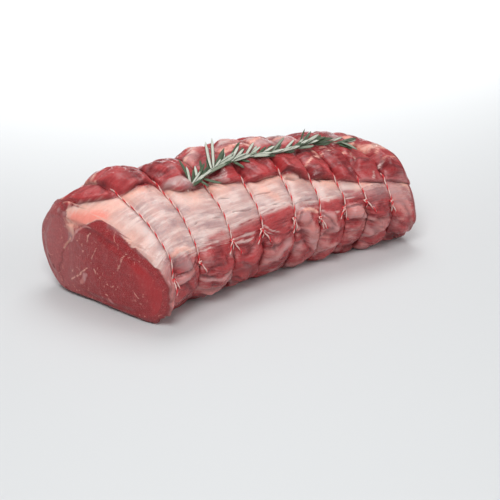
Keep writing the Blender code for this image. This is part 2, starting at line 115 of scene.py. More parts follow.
# Patches on the skin by tissue: half width in mm, strength, lift in mm, then each place's mm along and turn.
SKIN_STROKES: dict[Tissue, tuple] = {
    Tissue.FAT: (
        (1.2, 0.7, 0.2, -103.24, 1.74, -95.8, 1.7, -85.32, 1.66),
        (1.4, 0.7, 0.3, 133, 1.72, 138, 1.66, 138, 1.54), (3.4, 0.8, 0.5, 110, 1.82, 118, 1.75, 130, 1.81),
        (2.2, 0.6, 0, 17, 1.99, 40, 1.98, 63, 1.97), (4, 0.75, 0.4, -17, 1.95, -2, 1.98, 7, 1.94),
        (1.6, 0.8, 0.4, -63, 1.92, -57, 1.96, -41, 2.1),
        (6, 1, 0, -166, 2.04, -158, 1.92, -150, 1.84, -142, 1.8),
        (3.6, 0.6, 0, -16, 1.5, -10, 1.46, -6, 1.41), (3, 0.9, 0.4, 128, 1.33, 135, 1.23, 137, 1.15),
        (2.2, 0.8, 0.8, -137, 1.23, -130, 1.24, -120, 1.23, -115, 1.2),
        (1.6, 0.9, 0.6, 14, 1.19, 21, 1.19, 27, 1.14), (2.4, 0.8, 0, -46, 2.15, -30, 2.25),
        (1.1, 0.7, 0.3, 42, 1.62, 59, 1.71, 68, 1.73),
        (1.2, 0.7, 0.3, 70, 1.73, 82, 1.73, 89, 1.72, 93, 1.7), (1, 0.8, 0.2, 96, 1.69, 94, 1.61),
        (1.3, 0.7, 0.4, 121, 1.59, 131, 1.63, 138, 1.64, 138, 1.49),
        (3.5, 0.7, 0.6, 109, 1.77, 116, 1.76, 124, 1.75), (3.2, 0.9, 0.6, 114, 1.95, 121, 1.95),
        (2, 0.8, 0.3, 128, 1.73, 132, 1.83), (1.5, 0.7, 0.4, 63, 1.77, 61, 1.7),
        (2.5, 0.8, 0.3, -135, 2.52, -139, 2.22, -132, 2.26),
        (2, 1, 0.8, -160, 2.52, -158, 2.41, -156, 2.29),
        (1.6, 0.9, 0.5, -163, 2.38, -161, 2.27, -159, 2.21),
        (2.2, 1, 0.8, -158, 2.41, -159, 2.34, -161, 2.22),
        (1.6, 1, 0.5, -161, 2.25, -159, 2.18, -158, 2.12),
        (2.6, 0.85, 0.4, -142, 2.27, -140, 2.18, -137, 2.15),
        (3, 0.6, 0, -138, 1.83, -130, 1.81, -122, 1.79), (2.4, 0.7, 0, -59, 1.66, -49, 1.64, -29, 1.61),
        (2.2, 0.7, 0, -22, 1.59, -2, 1.58, 11, 1.57), (2.4, 0.8, 0.5, 115, 1.87, 112, 1.78, 115, 1.75),
        (1.6, 0.8, 0.3, 124, 1.76, 121, 1.68), (1.6, 0.8, 0.4, 76, 1.79, 82, 1.77, 87, 1.74),
        (1.2, 0.8, 0.3, 138, 1.65, 138, 1.51, 138, 1.42),
    ),
    Tissue.SALMON: (
        (1.8, 0.6, 0.2, 118, 1.95, 123, 1.97), (6.5, 0.9, 0, -165, 1.97, -162, 1.87, -157, 1.8),
        (1.6, 0.6, 0, -159, 2.35, -158, 2.24), (2.2, 0.6, 0.3, 115, 1.95, 123, 1.97),
    ),
    Tissue.GRISTLE: (
        (0.8, 1, 0.3, -141, 1.87, -139, 1.87, -135, 1.85), (0.6, 1, 0.3, 45, 1.61, 60, 1.7, 64, 1.73),
    ),
    # Pale silverskin film, and painted highlights on it.
    Tissue.SILVER_AND_HIGHLIGHT: (
        (4, 0.3, 1.5, -99, 1.77, -91, 1.74, -83, 1.72), (4, 0.7, 0, -148, 1.66, -145, 1.56, -147, 1.44),
        (4.5, 0.8, 0, -97, 1.63, -88, 1.58, -80, 1.57), (4, 0.8, 0, -60, 1.54, -51, 1.52, -42, 1.52),
        (3.5, 0.8, 0, -23, 1.44, -16, 1.4), (3, 0.7, 0, 17, 1.5, 11, 1.38, 9, 1.27),
        (3.4, 0.9, 0, 43, 1.45, 41, 1.34, 42, 1.26), (2.6, 1, 0, 68, 1.38, 78, 1.37, 83, 1.35),
        (3.4, 0.6, 0, 93, 1.35, 104, 1.35), (4, 0.3, 0.8, -60, 1.95, -52, 1.99, -42, 2.15),
        (2.5, 0.5, 0.8, -56, 1.72, -49, 1.72, -41, 1.73), (5, 0.5, 0.6, -12, 2.1, 6, 2.2, 20, 2.05),
        (4, 0.4, 0.6, 26, 2.15, 40, 2.12, 60, 2.1), (1.2, 0.7, 0.3, 97, 1.43, 111, 1.52, 120, 1.57),
        (3, 0.6, 0.6, 96, 1.87, 109, 1.94), (1.8, 0.5, 0, -103, 1.19, -92, 1.19, -81, 1.2),
        (1.35, 0.5, 0, -104, 1.14, -97, 1.14, -91, 1.15), (1.65, 0.5, 0, -64, 1.18, -52, 1.16, -40, 1.17),
        (1.35, 0.5, 0, -63, 1.14, -51, 1.11, -42, 1.12), (1.35, 0.5, 0, -61, 1.29, -52, 1.3, -44, 1.3),
        (1.35, 0.5, 0, -30, 1.18, -22, 1.11, -15, 1.05), (0.8, 0.7, 0.2, -30, 1.12, -22, 1.05, -17, 1.01),
        (1.35, 0.5, 0, 35, 1.13, 43, 1.1, 51, 1.11), (0.9, 0.6, 0.1, 62, 1.24, 71, 1.24, 79, 1.25),
    ),
    # Grey-mauve skin, and painted shade on the sides of the lobes next to the twine.
    Tissue.GREY_AND_SHADE: (
        (5.5, 1, 0.6, -99.11, 1.75, -45.62, 2.96, -85.05, 1.7, -82.29, 1.68),
        (4.5, 0.8, 0.3, 99, 1.89, 113, 1.95), (6, 0.9, 0.4, 20, 1.95, 36, 1.95, 59, 2),
        (5, 0.6, 0, -116, 1.59, -105, 1.54), (5, 0.7, 0, -117, 1.47, -106, 1.41),
        (4.2, 0.9, 0, -37, 1.53, -28, 1.5), (5, 0.8, 0, -41, 1.36, -33, 1.34),
        (4, 0.8, 0, -84, 1.36, -72, 1.36), (4.2, 0.8, 0, 28, 1.44, 33, 1.38), (4, 0.7, 0, 5, 1.5, 9, 1.45),
        (3.6, 0.4, 0, 5, 1.33, 11, 1.25), (4.5, 0.7, 0, 89, 1.37, 98, 1.32, 106, 1.26),
        (3.4, 0.6, 0, 52, 1.36, 56, 1.27), (3, 0.5, 0, 114, 1.31, 118, 1.19),
        (4, 0.4, 0, -158, 1.71, -157, 1.6), (3.5, 0.4, 0, -158, 1.47, -159, 1.39),
        (6, 1, 2.6, -137, 1.19, -128, 1.12, -123, 1.06), (3, 0.8, 0, -73, 0.66, -60, 0.42),
        (3, 0.6, 0, 82, 0.56, 89, 0.53), (2.6, 0.6, 0, 53, 0.44, 59, 0.49), (8, 0.6, 0, 64, 1.38, 77, 1.33),
        (9, 1, 0, 86, 1.33, 103, 1.3), (9, 1, 0, 113, 1.28, 136, 1.24),
        (1.6, 0.9, 0, -163, 2.22, -164, 2.09), (5, 0.7, 0.3, 100, 1.91, 113, 1.97, 114, 1.91),
    ),
    Tissue.PINK: (
        (3, 0.8, 0.3, -54, 1.68, -43, 1.68), (3, 1, 1.2, -98, 1.77, -89, 1.75, -81, 1.72),
        (6, 0.9, 0, 10, 1.95, 36, 1.95, 66, 1.93), (5.5, 0.7, 0, -25, 2, 4, 2.08, 16, 1.95),
        (5, 1, 1, -62, 1.88, -55, 1.94, -30, 2.23), (6.5, 1, 3.5, 11, 1.14, 16, 1.01, 22, 0.76, 32, 0.52),
        (3.2, 1, 2.4, 1, 1.03, 5, 0.95), (5.5, 0.9, 2.9, 33, 1.04, 40, 1.05, 43, 0.89),
        (5.5, 1, 3.2, 61, 1.08, 68, 1.08, 75, 0.97), (6.5, 0.8, 1.9, 81, 0.71, 89, 0.63, 91, 0.73),
        (7, 0.9, 0, 112, 1.25, 115, 1.09, 123, 1), (5, 0.7, 1, -153, 0.99, -133, 0.91, -120, 0.98),
        (6.5, 1, 0, -156, 1.22, -157, 1.1, -159, 0.9, -158, 0.55),
        (5, 0.7, 2.2, -103, 0.57, -87, 0.46, -71, 0.48), (3, 0.5, 0, -64, 0.8, -69, 1.02),
        (2.6, 0.9, 0.9, -104, 0.76, -94, 0.7, -81, 0.7, -75, 0.75),
        (4.5, 0.6, 0, -28, 0.63, -20, 0.75, -7, 0.81), (3.6, 0.7, 0.4, 32, 0.39, 37, 0.51, 46, 0.63),
        (3.2, 0.7, 0.4, 81, 0.48, 86, 0.62, 91, 0.76), (2.4, 0.8, 0.8, 83, 0.88, 89, 0.83, 94, 0.74),
        (6, 0.8, 0, 119, 1.25, 120, 1.06, 125, 0.99), (3, 0.6, 0, 127, 0.82, 138, 0.42, 129, 0.3),
    ),
    Tissue.RED: (
        (2.6, 1, 0, 136, 1.3, 137, 1, 137, 0.7, 135, 0.42), (5, 0.3, 0.5, -61, 1.24, -48, 1.22, -35, 1.24),
        (2.4, 0.5, 0, -61, 1.16, -48, 1.13, -37, 1.12), (4.4, 1, 0.8, -28, 1.23, -16, 1.21, 2, 1.23),
        (3, 1, 0.6, -5, 1.23, 3, 1.19), (4.5, 1, 0.6, 37, 1.2, 47, 1.19, 57, 1.2),
        (5, 1, 0.6, 62, 1.21, 71, 1.21, 81, 1.23), (2, 0.6, 0, 66, 1.32, 72, 1.31),
        (7, 1, 0.5, 82, 1.09, 89, 1.04, 100, 1.04), (6, 0.15, 0, -88, 1.24, -73, 1.25),
        (3, 0.5, 0, 116, 1.05, 114, 1.01), (6.3, 1, 4.4, -96, 1.05, -81, 1),
        (6.3, 1, 3.4, -57, 0.94, -47, 0.83), (5.4, 1, 2.4, -26, 0.76, -12, 0.63), (5.4, 1, 2, 39, 0.99),
        (5.4, 1, 2.4, 61, 0.77, 69, 0.79), (5.4, 1, 2, 88, 0.59), (6.3, 1, 4.1, 83, 1.68, 88, 1.63),
        (5.4, 1, 3.1, 72, 1.51, 83, 1.5), (6.3, 1, 3.7, 97, 1.56, 111, 1.59),
        (7.2, 1, 4.1, 124, 1.52, 133, 1.5), (5.4, 1, 2.7, 48, 1.57, 61, 1.56),
        (5.4, 1, 3.4, 19, 1.6, 34, 1.58), (6.3, 1, 2.7, 6, 1.67, 21, 1.67),
        (8.1, 1, 2.7, -137, 2, -122, 1.91, -115, 1.83), (7.2, 1, 2.7, -93, 1.97, -84, 1.88, -77, 1.82),
        (3, 1, 2.2, -32, 0.66, -28, 0.63), (3, 1, 1.6, -32, 0.83, -24, 0.95),
    ),
    Tissue.BRIGHT: (
        (3, 1, 0, 136, 1.3, 137, 1, 137, 0.7, 135, 0.42), (2.4, 0.9, 0, 131, 1.01, 131, 0.78, 137, 0.39),
        (5, 0.6, 0, -5, 1.65, 11, 1.66, 31, 1.77), (4, 0.6, 0, -137, 1.87, -126, 1.83, -108, 1.84),
        (3, 0.6, 0, -101, 1.8, -91, 1.78, -81, 1.8),
    ),
    # Dark red juice low on the lobes, with painted shade under them.
    Tissue.DARK: (
        (5, 0.8, 0, 128.07, 0.31, 137.17, 0.4), (6, 1, 0, 108.5, 0.78, 109.05, 0.6, 121.46, 0.4),
        (6, 0.9, 0, 101, 0.84, 113, 0.61, 124, 0.39), (4, 0.9, 0, -124, 0.57, -99, 0.21, -90, 0.17),
        (3.5, 0.5, 0, -64, 0.8, -58, 0.71, -45, 0.55),
    ),
    Tissue.BLOOD: (
        (2.2, 1, 0, -94, 0.14), (2, 1, 0, -63, 0.32, -61, 0.39), (2, 1, 0, -39, 0.3, -29, 0.17),
        (2, 1, 0, 61, 0.13, 67, 0.26),
    ),
    Tissue.SPLIT: (
        (0.7, 1, -0.9, -59, 1.55, -52, 1.53, -45, 1.53),
        (0.7, 1, -0.9, -101, 1.39, -92, 1.41, -82, 1.42, -67, 1.4),
        (0.7, 1, -1.2, -54, 1.4, -44, 1.39, -30, 1.39), (0.7, 1, -1.2, -24, 1.37, -11, 1.34, 7, 1.3),
        (0.6, 0.9, -0.9, -25, 1.48, -18, 1.47, -9, 1.46), (0.6, 0.9, -0.9, 9, 1.29, 20, 1.3, 33, 1.31),
        (0.8, 1, -1, 122, 1.35, 134, 1.33), (0.9, 1, -1.2, -104, 0.78, -98, 0.75, -88, 0.72, -75, 0.76),
        (0.8, 1, -1.6, -139, 1.16, -140, 1.06, -143, 1.02), (0.7, 0.7, -0.9, 96, 0.95, 111, 0.7, 128, 0.26),
        (0.8, 0.8, -1, 59, 1.17, 51, 1.04, 58, 1.04),
        (1.2, 1, -2.4, -138, 1.19, -140, 1.08, -134, 1.01, -120, 1.02, -110, 1.05),
        (1.2, 1, -2.4, -104, 1.14, -110, 1.05, -102, 0.81, -93, 0.75, -76, 0.75, -68, 0.86),
        (1.1, 1, -2, -64, 1.04, -64, 0.72, -71, 0.69, -49, 0.45),
        (1.1, 1, -1.7, -31, 1.04, -24, 0.96, -23, 0.82),
        (1.1, 1, -2.5, 11, 1.17, 7, 1.07, 10, 0.88, 16, 0.65, 21, 0.59),
        (1.1, 1, -1.7, 31, 0.97, 32, 0.75, 32, 0.49),
        (1.1, 1, -2, 35, 1.09, 43, 1, 50, 0.83, 44, 0.74, 36, 0.76),
        (1.1, 1, -2, 60, 1.11, 70, 1.13, 76, 1.07, 80, 0.89),
        (1.1, 1, -2, 81, 0.81, 83, 0.86, 88, 0.78, 94, 0.76), (1.1, 1, -2, 81, 0.46, 86, 0.42, 96, 0.37),
        (1.2, 1, -2, 102, 0.89, 113, 0.58, 126, 0.29), (1.2, 1, -1.7, 42, 1.61, 43, 1.51, 46, 1.48),
        (1.1, 0.9, -1.7, 66, 1.57, 82, 1.59, 89, 1.53), (1.1, 0.9, -1.7, 88, 1.51, 95, 1.62, 96, 1.71),
        (1.2, 1, -2, 108, 1.44, 118, 1.55, 123, 1.65), (1.6, 1, -2.7, 15, 1.55, 21, 1.53, 32, 1.52),
        (0.9, 0.9, -1.5, -150, 2.01, -141, 2, -140, 1.89), (0.9, 0.8, -1.4, -133, 2.25, -143, 2.04),
        (0.9, 0.6, -0.8, -103, 2, -104, 1.81),
    ),
}

# Patches on the cut face by tissue: half width in mm, strength, lift in mm, then each place's y and z in mm.
FACE_STROKES: dict[Tissue, tuple] = {
    Tissue.FAT: (
        (9, 1, -0.4, 26, 92, 14, 96, 4, 100), (5.5, 1, -0.6, 27, 78, 20, 84),
        (3.2, 1, -0.8, 29, 67, 28, 74), (1, 0.7, -0.4, 32, 60, 35, 52, 38, 46),
        (2.4, 0.9, 0.2, 40, 86, 49, 85, 58, 79),
    ),
    Tissue.SALMON: ((5.5, 1, 0, 22, 82, 14, 88),),
    Tissue.GRISTLE: (
        (0.7, 0.9, 0, 5, 73, 9, 65), (0.5, 0.8, 0, -1, 63, 1, 54, 4, 45),
        (0.55, 0.8, 0, -31, 71, -32, 65, -30, 58, -24, 47), (0.55, 1, 0.2, 31, 16, 17, 29, 9, 38),
        (0.5, 0.9, 0, 1, 40, -2, 36), (0.55, 1, 0.2, -6, 23, -10, 18, -15, 17),
        (0.5, 0.7, 0, -25, 31, -22, 26), (0.5, 0.8, 0, -39, 29, -44, 25), (0.55, 0.9, 0, -20, 43),
        (0.7, 0.9, 0, -43, 6), (0.7, 0.9, 0, -48, 7), (0.9, 0.6, 0, 13, 54), (0.5, 0.8, 0, 51, 18),
    ),
    Tissue.GREY_AND_SHADE: (
        (1.8, 0.9, -0.6, 30.5, 66, 33, 57), (2, 1, 0, 36, 84, 40, 84),
    ),
    Tissue.PINK: (
        (1.2, 0.9, 0.3, 29, 58, 25, 66, 20, 72, 11, 79, 2, 81), (2.4, 0.8, 0.3, 17, 21, 12, 30),
        (2.4, 0.9, 0.3, -15, 13, -16, 12),
    ),
    Tissue.BRIGHT: ((8, 0.9, 0, -45, 52, -53, 42, -60, 32, -60, 16),),
    # Painted shade along the top of the eye, below the rounded cut edge.
    Tissue.DARK: ((5, 0.7, 0, 7, 76, -3, 78, -13, 76),),
    Tissue.BLOOD: (
        (0.9, 0.8, -0.4, 55, 37, 53, 34), (1.2, 0.9, -0.4, 51, 26, 50, 23), (1.8, 0.9, 0.3, 37, 6),
    ),
    Tissue.SPLIT: (
        (0.8, 0.5, -1.4, 33, 56, 37, 48, 41, 40, 41, 32, 45, 21), (0.6, 0.5, -0.7, 44, 28, 42, 16, 40, 6),
    ),
}


def read_strokes(table: dict[Tissue, tuple], scale: Place) -> list[Stroke]:
    """Read a table of strokes.

    Args:
        table: rows by tissue.
        scale: what the two numbers of a place are multiplied by.

    Returns:
        The strokes.
    """
    strokes = []
    for tissue, rows in table.items():
        for half, amount, lift, *places in rows:
            pairs = zip(places[::2], places[1::2])
            line = tuple((first * scale[0], second * scale[1]) for first, second in pairs)
            strokes.append(Stroke(tissue, half, line, amount, lift))
    return strokes


def ramp(low: float | Array, high: float | Array, x: Array) -> Array:
    """Rise smoothly from 0 at low to 1 at high.

    Args:
        low: where the rise starts.
        high: where it ends.
        x: the values to read.

    Returns:
        The risen values.
    """
    t = np.clip((x - low) / (high - low), 0.0, 1.0)
    return t * t * (3.0 - 2.0 * t)


def plateau(edges: Edges, x: Array) -> Array:
    """Rise smoothly from 0 to 1 and fall back to 0.

    Args:
        edges: where the rise starts and ends, and where the fall starts and ends.
        x: the values to read.

    Returns:
        The height at each value.
    """
    return ramp(edges[0], edges[1], x) * ramp(edges[3], edges[2], x)


def curve_through(x: Array, xs: Sequence[float], ys: Sequence[float]) -> Array:
    """Read a smooth curve through named points.

    Args:
        x: where to read it.
        xs: the points' places.
        ys: the points' values.

    Returns:
        The curve's values.
    """
    xs = np.asarray(xs, float)
    ys = np.asarray(ys, float)
    slope = np.gradient(ys, xs)
    i = np.clip(np.searchsorted(xs, x) - 1, 0, len(xs) - 2)
    span = xs[i + 1] - xs[i]
    t = np.clip((x - xs[i]) / span, 0.0, 1.0)
    start = (1.0 + 2.0 * t) * (1.0 - t) ** 2 * ys[i] + t * (1.0 - t) ** 2 * span * slope[i]
    stop = t * t * (3.0 - 2.0 * t) * ys[i + 1] + t * t * (t - 1.0) * span * slope[i + 1]
    return start + stop


def smooth_noise(points: Array, size: float, shift: float = 0.0) -> Array:
    """Sample smooth noise.

    Args:
        points: rows of x, y, z in metres.
        size: the wave length in metres.
        shift: moves the pattern.

    Returns:
        One value from -1 to 1 a point.
    """
    rows = (points / size + shift).tolist()
    return np.array([noise.noise(Vector(row)) for row in rows])


def distance_to_line(points: Array, line: Array) -> Array:
    """Measure how far points lie from a line of straight stretches.

    Args:
        points: rows of coordinates.
        line: rows of the line's corners, with as many coordinates.

    Returns:
        The distances.
    """
    if len(line) == 1:
        return np.linalg.norm(points - line[0], axis=1)
    best = np.full(len(points), np.inf)
    for start, stop in zip(line[:-1], line[1:]):
        span = stop - start
        t = np.clip((points - start) @ span / max(float(span @ span), 1e-12), 0.0, 1.0)
        best = np.minimum(best, np.linalg.norm(points - start - t[:, None] * span, axis=1))
    return best


@dataclass
class JointForm:
    """The shape of the tied meat, as its solids have it, with the finer relief on top."""

    centre: Vector = field(default_factory=lambda: Vector((-0.024, 0.0016, 0.0)))
    sections: tuple[Section, ...] = (
        Section(-0.165, 0.356, -0.067, 0.04, 0.025, 0.085, 0.0685, 0.043, -0.04, 0.036, 2.3, 1.6, 2.4, 2.1),
        Section(-0.144, 0.176, -0.0645, 0.048, 0.032, 0.0985, 0.069, 0.046, -0.036, 0.04, 1.6, 1.95, 2.2, 2.1),
        Section(-0.105, 0.03, -0.0605, 0.052, 0.036, 0.1, 0.069, 0.05, -0.034, 0.042, 1.4, 2.0, 2.0, 2.0),
        Section(-0.065, 0.0, -0.058, 0.047, 0.036, 0.099, 0.069, 0.05, -0.034, 0.042, 1.4, 2.0, 2.0, 2.0),
        Section(0.002, 0.0, -0.0575, 0.054, 0.036, 0.096, 0.067, 0.049, -0.032, 0.042, 1.4, 2.05, 2.0, 2.0),
        Section(0.057, 0.0, -0.0605, 0.05, 0.034, 0.088, 0.065, 0.047, -0.036, 0.04, 1.5, 2.1, 2.0, 2.0),
        Section(0.107, 0.0, -0.068, 0.05, 0.028, 0.0815, 0.061, 0.045, -0.042, 0.036, 1.6, 2.2, 2.1, 2.0),
        Section(0.138, 0.0, -0.066, 0.038, 0.008, 0.076, 0.055, 0.042, -0.044, 0.03, 1.9, 2.7, 2.2, 2.0),
    )
    loops: tuple[float, ...] = (-0.144, -0.105, -0.065, -0.033, 0.002, 0.03, 0.057, 0.08, 0.107)
    swell: tuple[Place, ...] = (
        (0.0, 0.003), (0.25, 0.006), (0.6, 0.0092), (0.9, 0.007), (1.12, 0.003), (1.4, 0.0021),
        (1.7, 0.0048), (2.0, 0.0046), (2.4, 0.0034), (3.0, 0.0036), (3.6, 0.0042), (4.0, 0.003), (5.0, 0.003),
    )
    creases: tuple[float, ...] = (0.45, 0.3, 0.52, 0.62, 0.4, 0.66, 0.48, 0.35, 0.6, 0.45)
    crease_depth: float = 0.003
    crease_width: float = 0.07
    groove_half: float = 0.0014
    pinch: float = 0.0024
    swell_power: float = 0.5
    end_lobe_reach: float = 0.012
    face_calm: float = 0.008
    end_calm: float = 0.75
    low_top: float = 0.75
    swell_varies: float = 0.3
    first_lobe_top: float = 0.35
    ground_gap: float = 0.0026
    seam: tuple[Place, ...] = (
        (-0.165, 2.2), (-0.161, 2.08), (-0.155, 1.955), (-0.148, 1.895), (-0.142, 1.86), (-0.137, 1.855),
        (-0.13, 1.85), (-0.119, 1.835), (-0.108, 1.8), (-0.102, 1.755), (-0.096, 1.7), (-0.086, 1.665),
        (-0.078, 1.675), (-0.064, 1.7), (-0.048, 1.655), (-0.032, 1.62), (-0.018, 1.595), (-0.004, 1.6),
        (0.005, 1.62), (0.013, 1.585), (0.02, 1.535), (0.04, 1.505), (0.057, 1.47), (0.066, 1.435),
        (0.085, 1.405), (0.102, 1.375), (0.111, 1.385), (0.123, 1.345), (0.138, 1.33),
    )
    fan: tuple[Place, ...] = (
        (-0.165, 0.0), (-0.144, 0.0055), (-0.105, 0.0012), (-0.065, 0.002), (-0.033, 0.006), (0.002, 0.009),
        (0.03, 0.008), (0.057, 0.007), (0.08, 0.006), (0.107, 0.004), (0.138, 0.0),
    )
    fan_round: tuple[Place, ...] = (
        (0.0, 0.0), (1.0, 0.0), (1.25, 0.55), (1.5, 1.0), (1.7, 1.35), (1.9, 1.4), (2.3, 0.8),
        (2.8, 0.0), (5.0, 0.0),
    )
    seam_step: float = 0.005
    seam_step_at_loop: float = 0.35
    seam_width: float = 0.035
    seam_ends: Place = (2.7, 3.3)
    lip: float = 0.035
    swing: float = 0.0046
    swing_start: Place = (0.04, 0.045)
    low_top_from: Place = (-0.01, 0.05)
    low_top_turns: Edges = (1.8, 2.05, 2.5, 2.8)
    low_back: float = 0.0038
    low_back_from: Edges = (-0.118, -0.1, -0.062, -0.045)
    low_back_turns: Edges = (1.9, 2.1, 2.6, 2.9)
    thin_step: tuple[float, float, float] = (0.55, 0.116, 0.136)
    shoulders: tuple[tuple[float, float, float], ...] = ((1.64, 0.18, 0.0046), (0.75, 0.45, 0.0018))
    shoulders_from: Place = (0.109, 0.122)
    arcs: tuple[Place, ...] = (
        (0.0, 0.0), (1.0, 0.06), (2.0, 0.163), (3.0, 0.228), (4.0, 0.288), (5.0, 0.362),
    )
    silver_reach: float = 0.012
    silver_scale: Place = (0.055, 0.16)
    silver_clear: float = 0.008
    bow: tuple[float, float, float, float] = (0.006, -0.008, 0.07, 0.04)
    relief: tuple[Place, ...] = ((0.034, 0.0015), (0.013, 0.0005))
    flank_calm: float = 0.25
    mean_arc: float = 0.08
    knobs: tuple[Place, ...] = ((0.014, 0.0027), (0.0065, 0.0012))
    folds: tuple[float, float, float] = (0.022, 0.0026, 0.14)
    silver_edge: tuple[Place, ...] = (
        (-0.165, 1.22), (-0.15, 1.2), (-0.137, 1.17), (-0.109, 1.12), (-0.1, 1.18), (-0.066, 1.2),
        (-0.054, 1.25), (-0.032, 1.27), (-0.013, 1.24), (0.011, 1.22), (0.044, 1.22), (0.082, 1.22),
        (0.103, 1.22), (0.112, 1.16), (0.138, 1.02),
    )

    @property
    def first(self) -> float:
        """Give the place of the cut face."""
        return self.sections[0].along

    @property
    def last(self) -> float:
        """Give the place of the small end."""
        return self.sections[-1].along

    def to_frame(self, points: Array) -> Array:
        """Move rows of points from the joint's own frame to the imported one."""
        return points - np.array(self.centre)

    def section_at(self, along: Array) -> Section:
        """Blend the named sections to places along the joint.

        Args:
            along: the places.

        Returns:
            A section whose fields are arrays.
        """
        places = [s.along for s in self.sections]
        columns = ([getattr(s, name) for s in self.sections] for name in Section.__dataclass_fields__)
        return Section(*(curve_through(along, places, column) for column in columns))

    @staticmethod
    def quadrant(turn: Array, roundness: Array) -> tuple[Array, Array]:
        """Give the two weights of a rounded quadrant.

        Args:
            turn: the fraction of the quadrant.
            roundness: its power; 2 is an ellipse.

        Returns:
            A weight that falls from 1 to 0 and one that rises from 0 to 1.
        """
        angle = turn * math.pi / 2.0
        power = 2.0 / roundness
        return np.maximum(np.cos(angle), 0.0) ** power, np.maximum(np.sin(angle), 0.0) ** power

    def outline(self, along: Array, turn: Array) -> tuple[Array, Array, Array]:
        """Read the bare section outline.

        Args:
            along: places along the joint.
            turn: turn numbers.

        Returns:
            Lean, y and z.
        """
        s = self.section_at(along)
        turn = np.mod(turn, 5.0)
        zone = np.floor(turn).astype(int)
        part = turn - zone
        low = self.ground_gap
        fall_0, rise_0 = self.quadrant(part, s.round_0)
        fall_1, rise_1 = self.quadrant(part, s.round_1)
        fall_2, rise_2 = self.quadrant(part, s.round_2)
        fall_3, rise_3 = self.quadrant(part, s.round_3)
        y = np.choose(zone, (
            s.foot_front + (s.front - s.foot_front) * rise_0,
            s.crest_y + (s.front - s.crest_y) * fall_1,
            s.crest_y + (s.back - s.crest_y) * rise_2,
            s.foot_back + (s.back - s.foot_back) * fall_3,
            s.foot_back + (s.foot_front - s.foot_back) * part,
        ))
        z = np.choose(zone, (
            s.front_z + (low - s.front_z) * fall_0,
            s.front_z + (s.crest_z - s.front_z) * rise_1,
            s.back_z + (s.crest_z - s.back_z) * fall_2,
            s.back_z + (low - s.back_z) * rise_3,
            low + 0.0 * part,
        ))
        return s.lean, y, z

    def in_lobe(self, along: Array) -> tuple[Array, Array, int]:
        """Find the lobe that a place lies in.

        Args:
            along: places along the joint.

        Returns:
            The share of the way across the lobe, the lobe's number, and the last lobe's number.
        """
        edges = np.array((self.first - self.end_lobe_reach, *self.loops, self.last + self.end_lobe_reach))
        most = len(edges) - 2
        lobe = np.clip(np.searchsorted(edges, along) - 1, 0, most)
        low = edges[lobe] + self.groove_half
        high = edges[lobe + 1] - self.groove_half
        return np.clip((along - low) / (high - low), 0.0, 1.0), lobe, most

    def between_loops(self, along: Array) -> tuple[Array, Array]:
        """Tell how far a place is from the loops of twine.

        Args:
            along: places along the joint.

        Returns:
            0 in a groove and up to 1 half way to the next loop, and the lobe's number.
        """
        t, lobe, _ = self.in_lobe(along)
        arch = (4.0 * t * (1.0 - t)) ** self.swell_power
        return arch * (1.0 - ramp(self.first + self.face_calm, self.first, along)), lobe

    def closing(self, along: Array, turn: Array) -> tuple[Array, Array, Array]:
        """Tell how the lobes close over the twine, which they do below the knots and on top.

        Args:
            along: places along the joint.
            turn: turn numbers.

        Returns:
            How much they close (0 to 1), the shift along the joint in metres, and the open arch that
            takes no notice of the two ends.
        """
        t, lobe, most = self.in_lobe(along)
        turn = np.mod(turn, 5.0)
        over = turn - self.seam_turn(along)
        close = np.where(turn < 1.3, ramp(1.04, 0.84, turn), ramp(0.03, 0.16, over))
        arch = (4.0 * t * (1.0 - t)) ** (self.swell_power - 0.05 * close)
        bump = 4.0 * arch * (1.0 - arch)
        outer = ((lobe == 0) & (t < 0.5)) | ((lobe == most) & (t > 0.5))
        return close, np.where(outer, 0.0, np.sign(t - 0.5) * bump * close * self.pinch), arch

    def fanned(self, along: Array, turn: Array) -> Array:
        """Give how far the loops lean towards the small end.

        Args:
            along: places along the joint.
            turn: turn numbers.

        Returns:
            Metres along the joint.
        """
        most = curve_through(np.asarray(along, float), *zip(*self.fan))
        return most * np.interp(np.mod(turn, 5.0), *zip(*self.fan_round))

    def lumps(self, along: Array, turn: Array, lobe: Array, size: float) -> Array:
        """Sample noise on the joint's own coordinates.

        Args:
            along: places along the joint.
            turn: turn numbers.
            lobe: lobe numbers, which each have their own pattern.
            size: the wave length in metres.

        Returns:
            One value from -1 to 1 a point.
        """
        rows = zip((along / size).tolist(), (turn * self.mean_arc / size).tolist(), (7.3 * lobe).tolist())
        return np.array([noise.noise(Vector(row)) for row in rows])

    def seam_turn(self, along: Array) -> Array:
        """Give the turn number of the seam under the top muscle."""
        return curve_through(along, *zip(*self.seam))

    def arc_of(self, turn: Array) -> Array:
        """Turn a turn number into metres round the joint, roughly."""
        return np.interp(np.mod(turn, 5.0), *zip(*self.arcs))

    def silver_cover(self, along: Array, turn: Array) -> Array:
        """Give the silverskin's cover.

        Args:
            along: places along the joint.
            turn: turn numbers.

        Returns:
            0 outside it, 0.5 at its edges, and 1 from 6 mm inside them on.
        """
        turn = np.mod(turn, 5.0)
        low = np.interp(along, *zip(*self.silver_edge))
        high = self.seam_turn(along) - self.silver_clear
        inside = np.minimum((turn - low) * self.silver_scale[0], (high - turn) * self.silver_scale[1])
        return np.clip(0.5 + inside / self.silver_reach, 0.0, 1.0)

    def fold_lines(self, along: Array, turn: Array, lobe: Array) -> Array:
        """Draw thin creases between bundles of muscle.

        Args:
            along: places along the joint.
            turn: turn numbers.
            lobe: lobe numbers.

        Returns:
            1 in a crease and 0 away from it.
        """
        size, _, width = self.folds
        wave = self.lumps(along * 0.8, turn, lobe + 3.0, size)
        return np.exp(-((wave / width) ** 2))

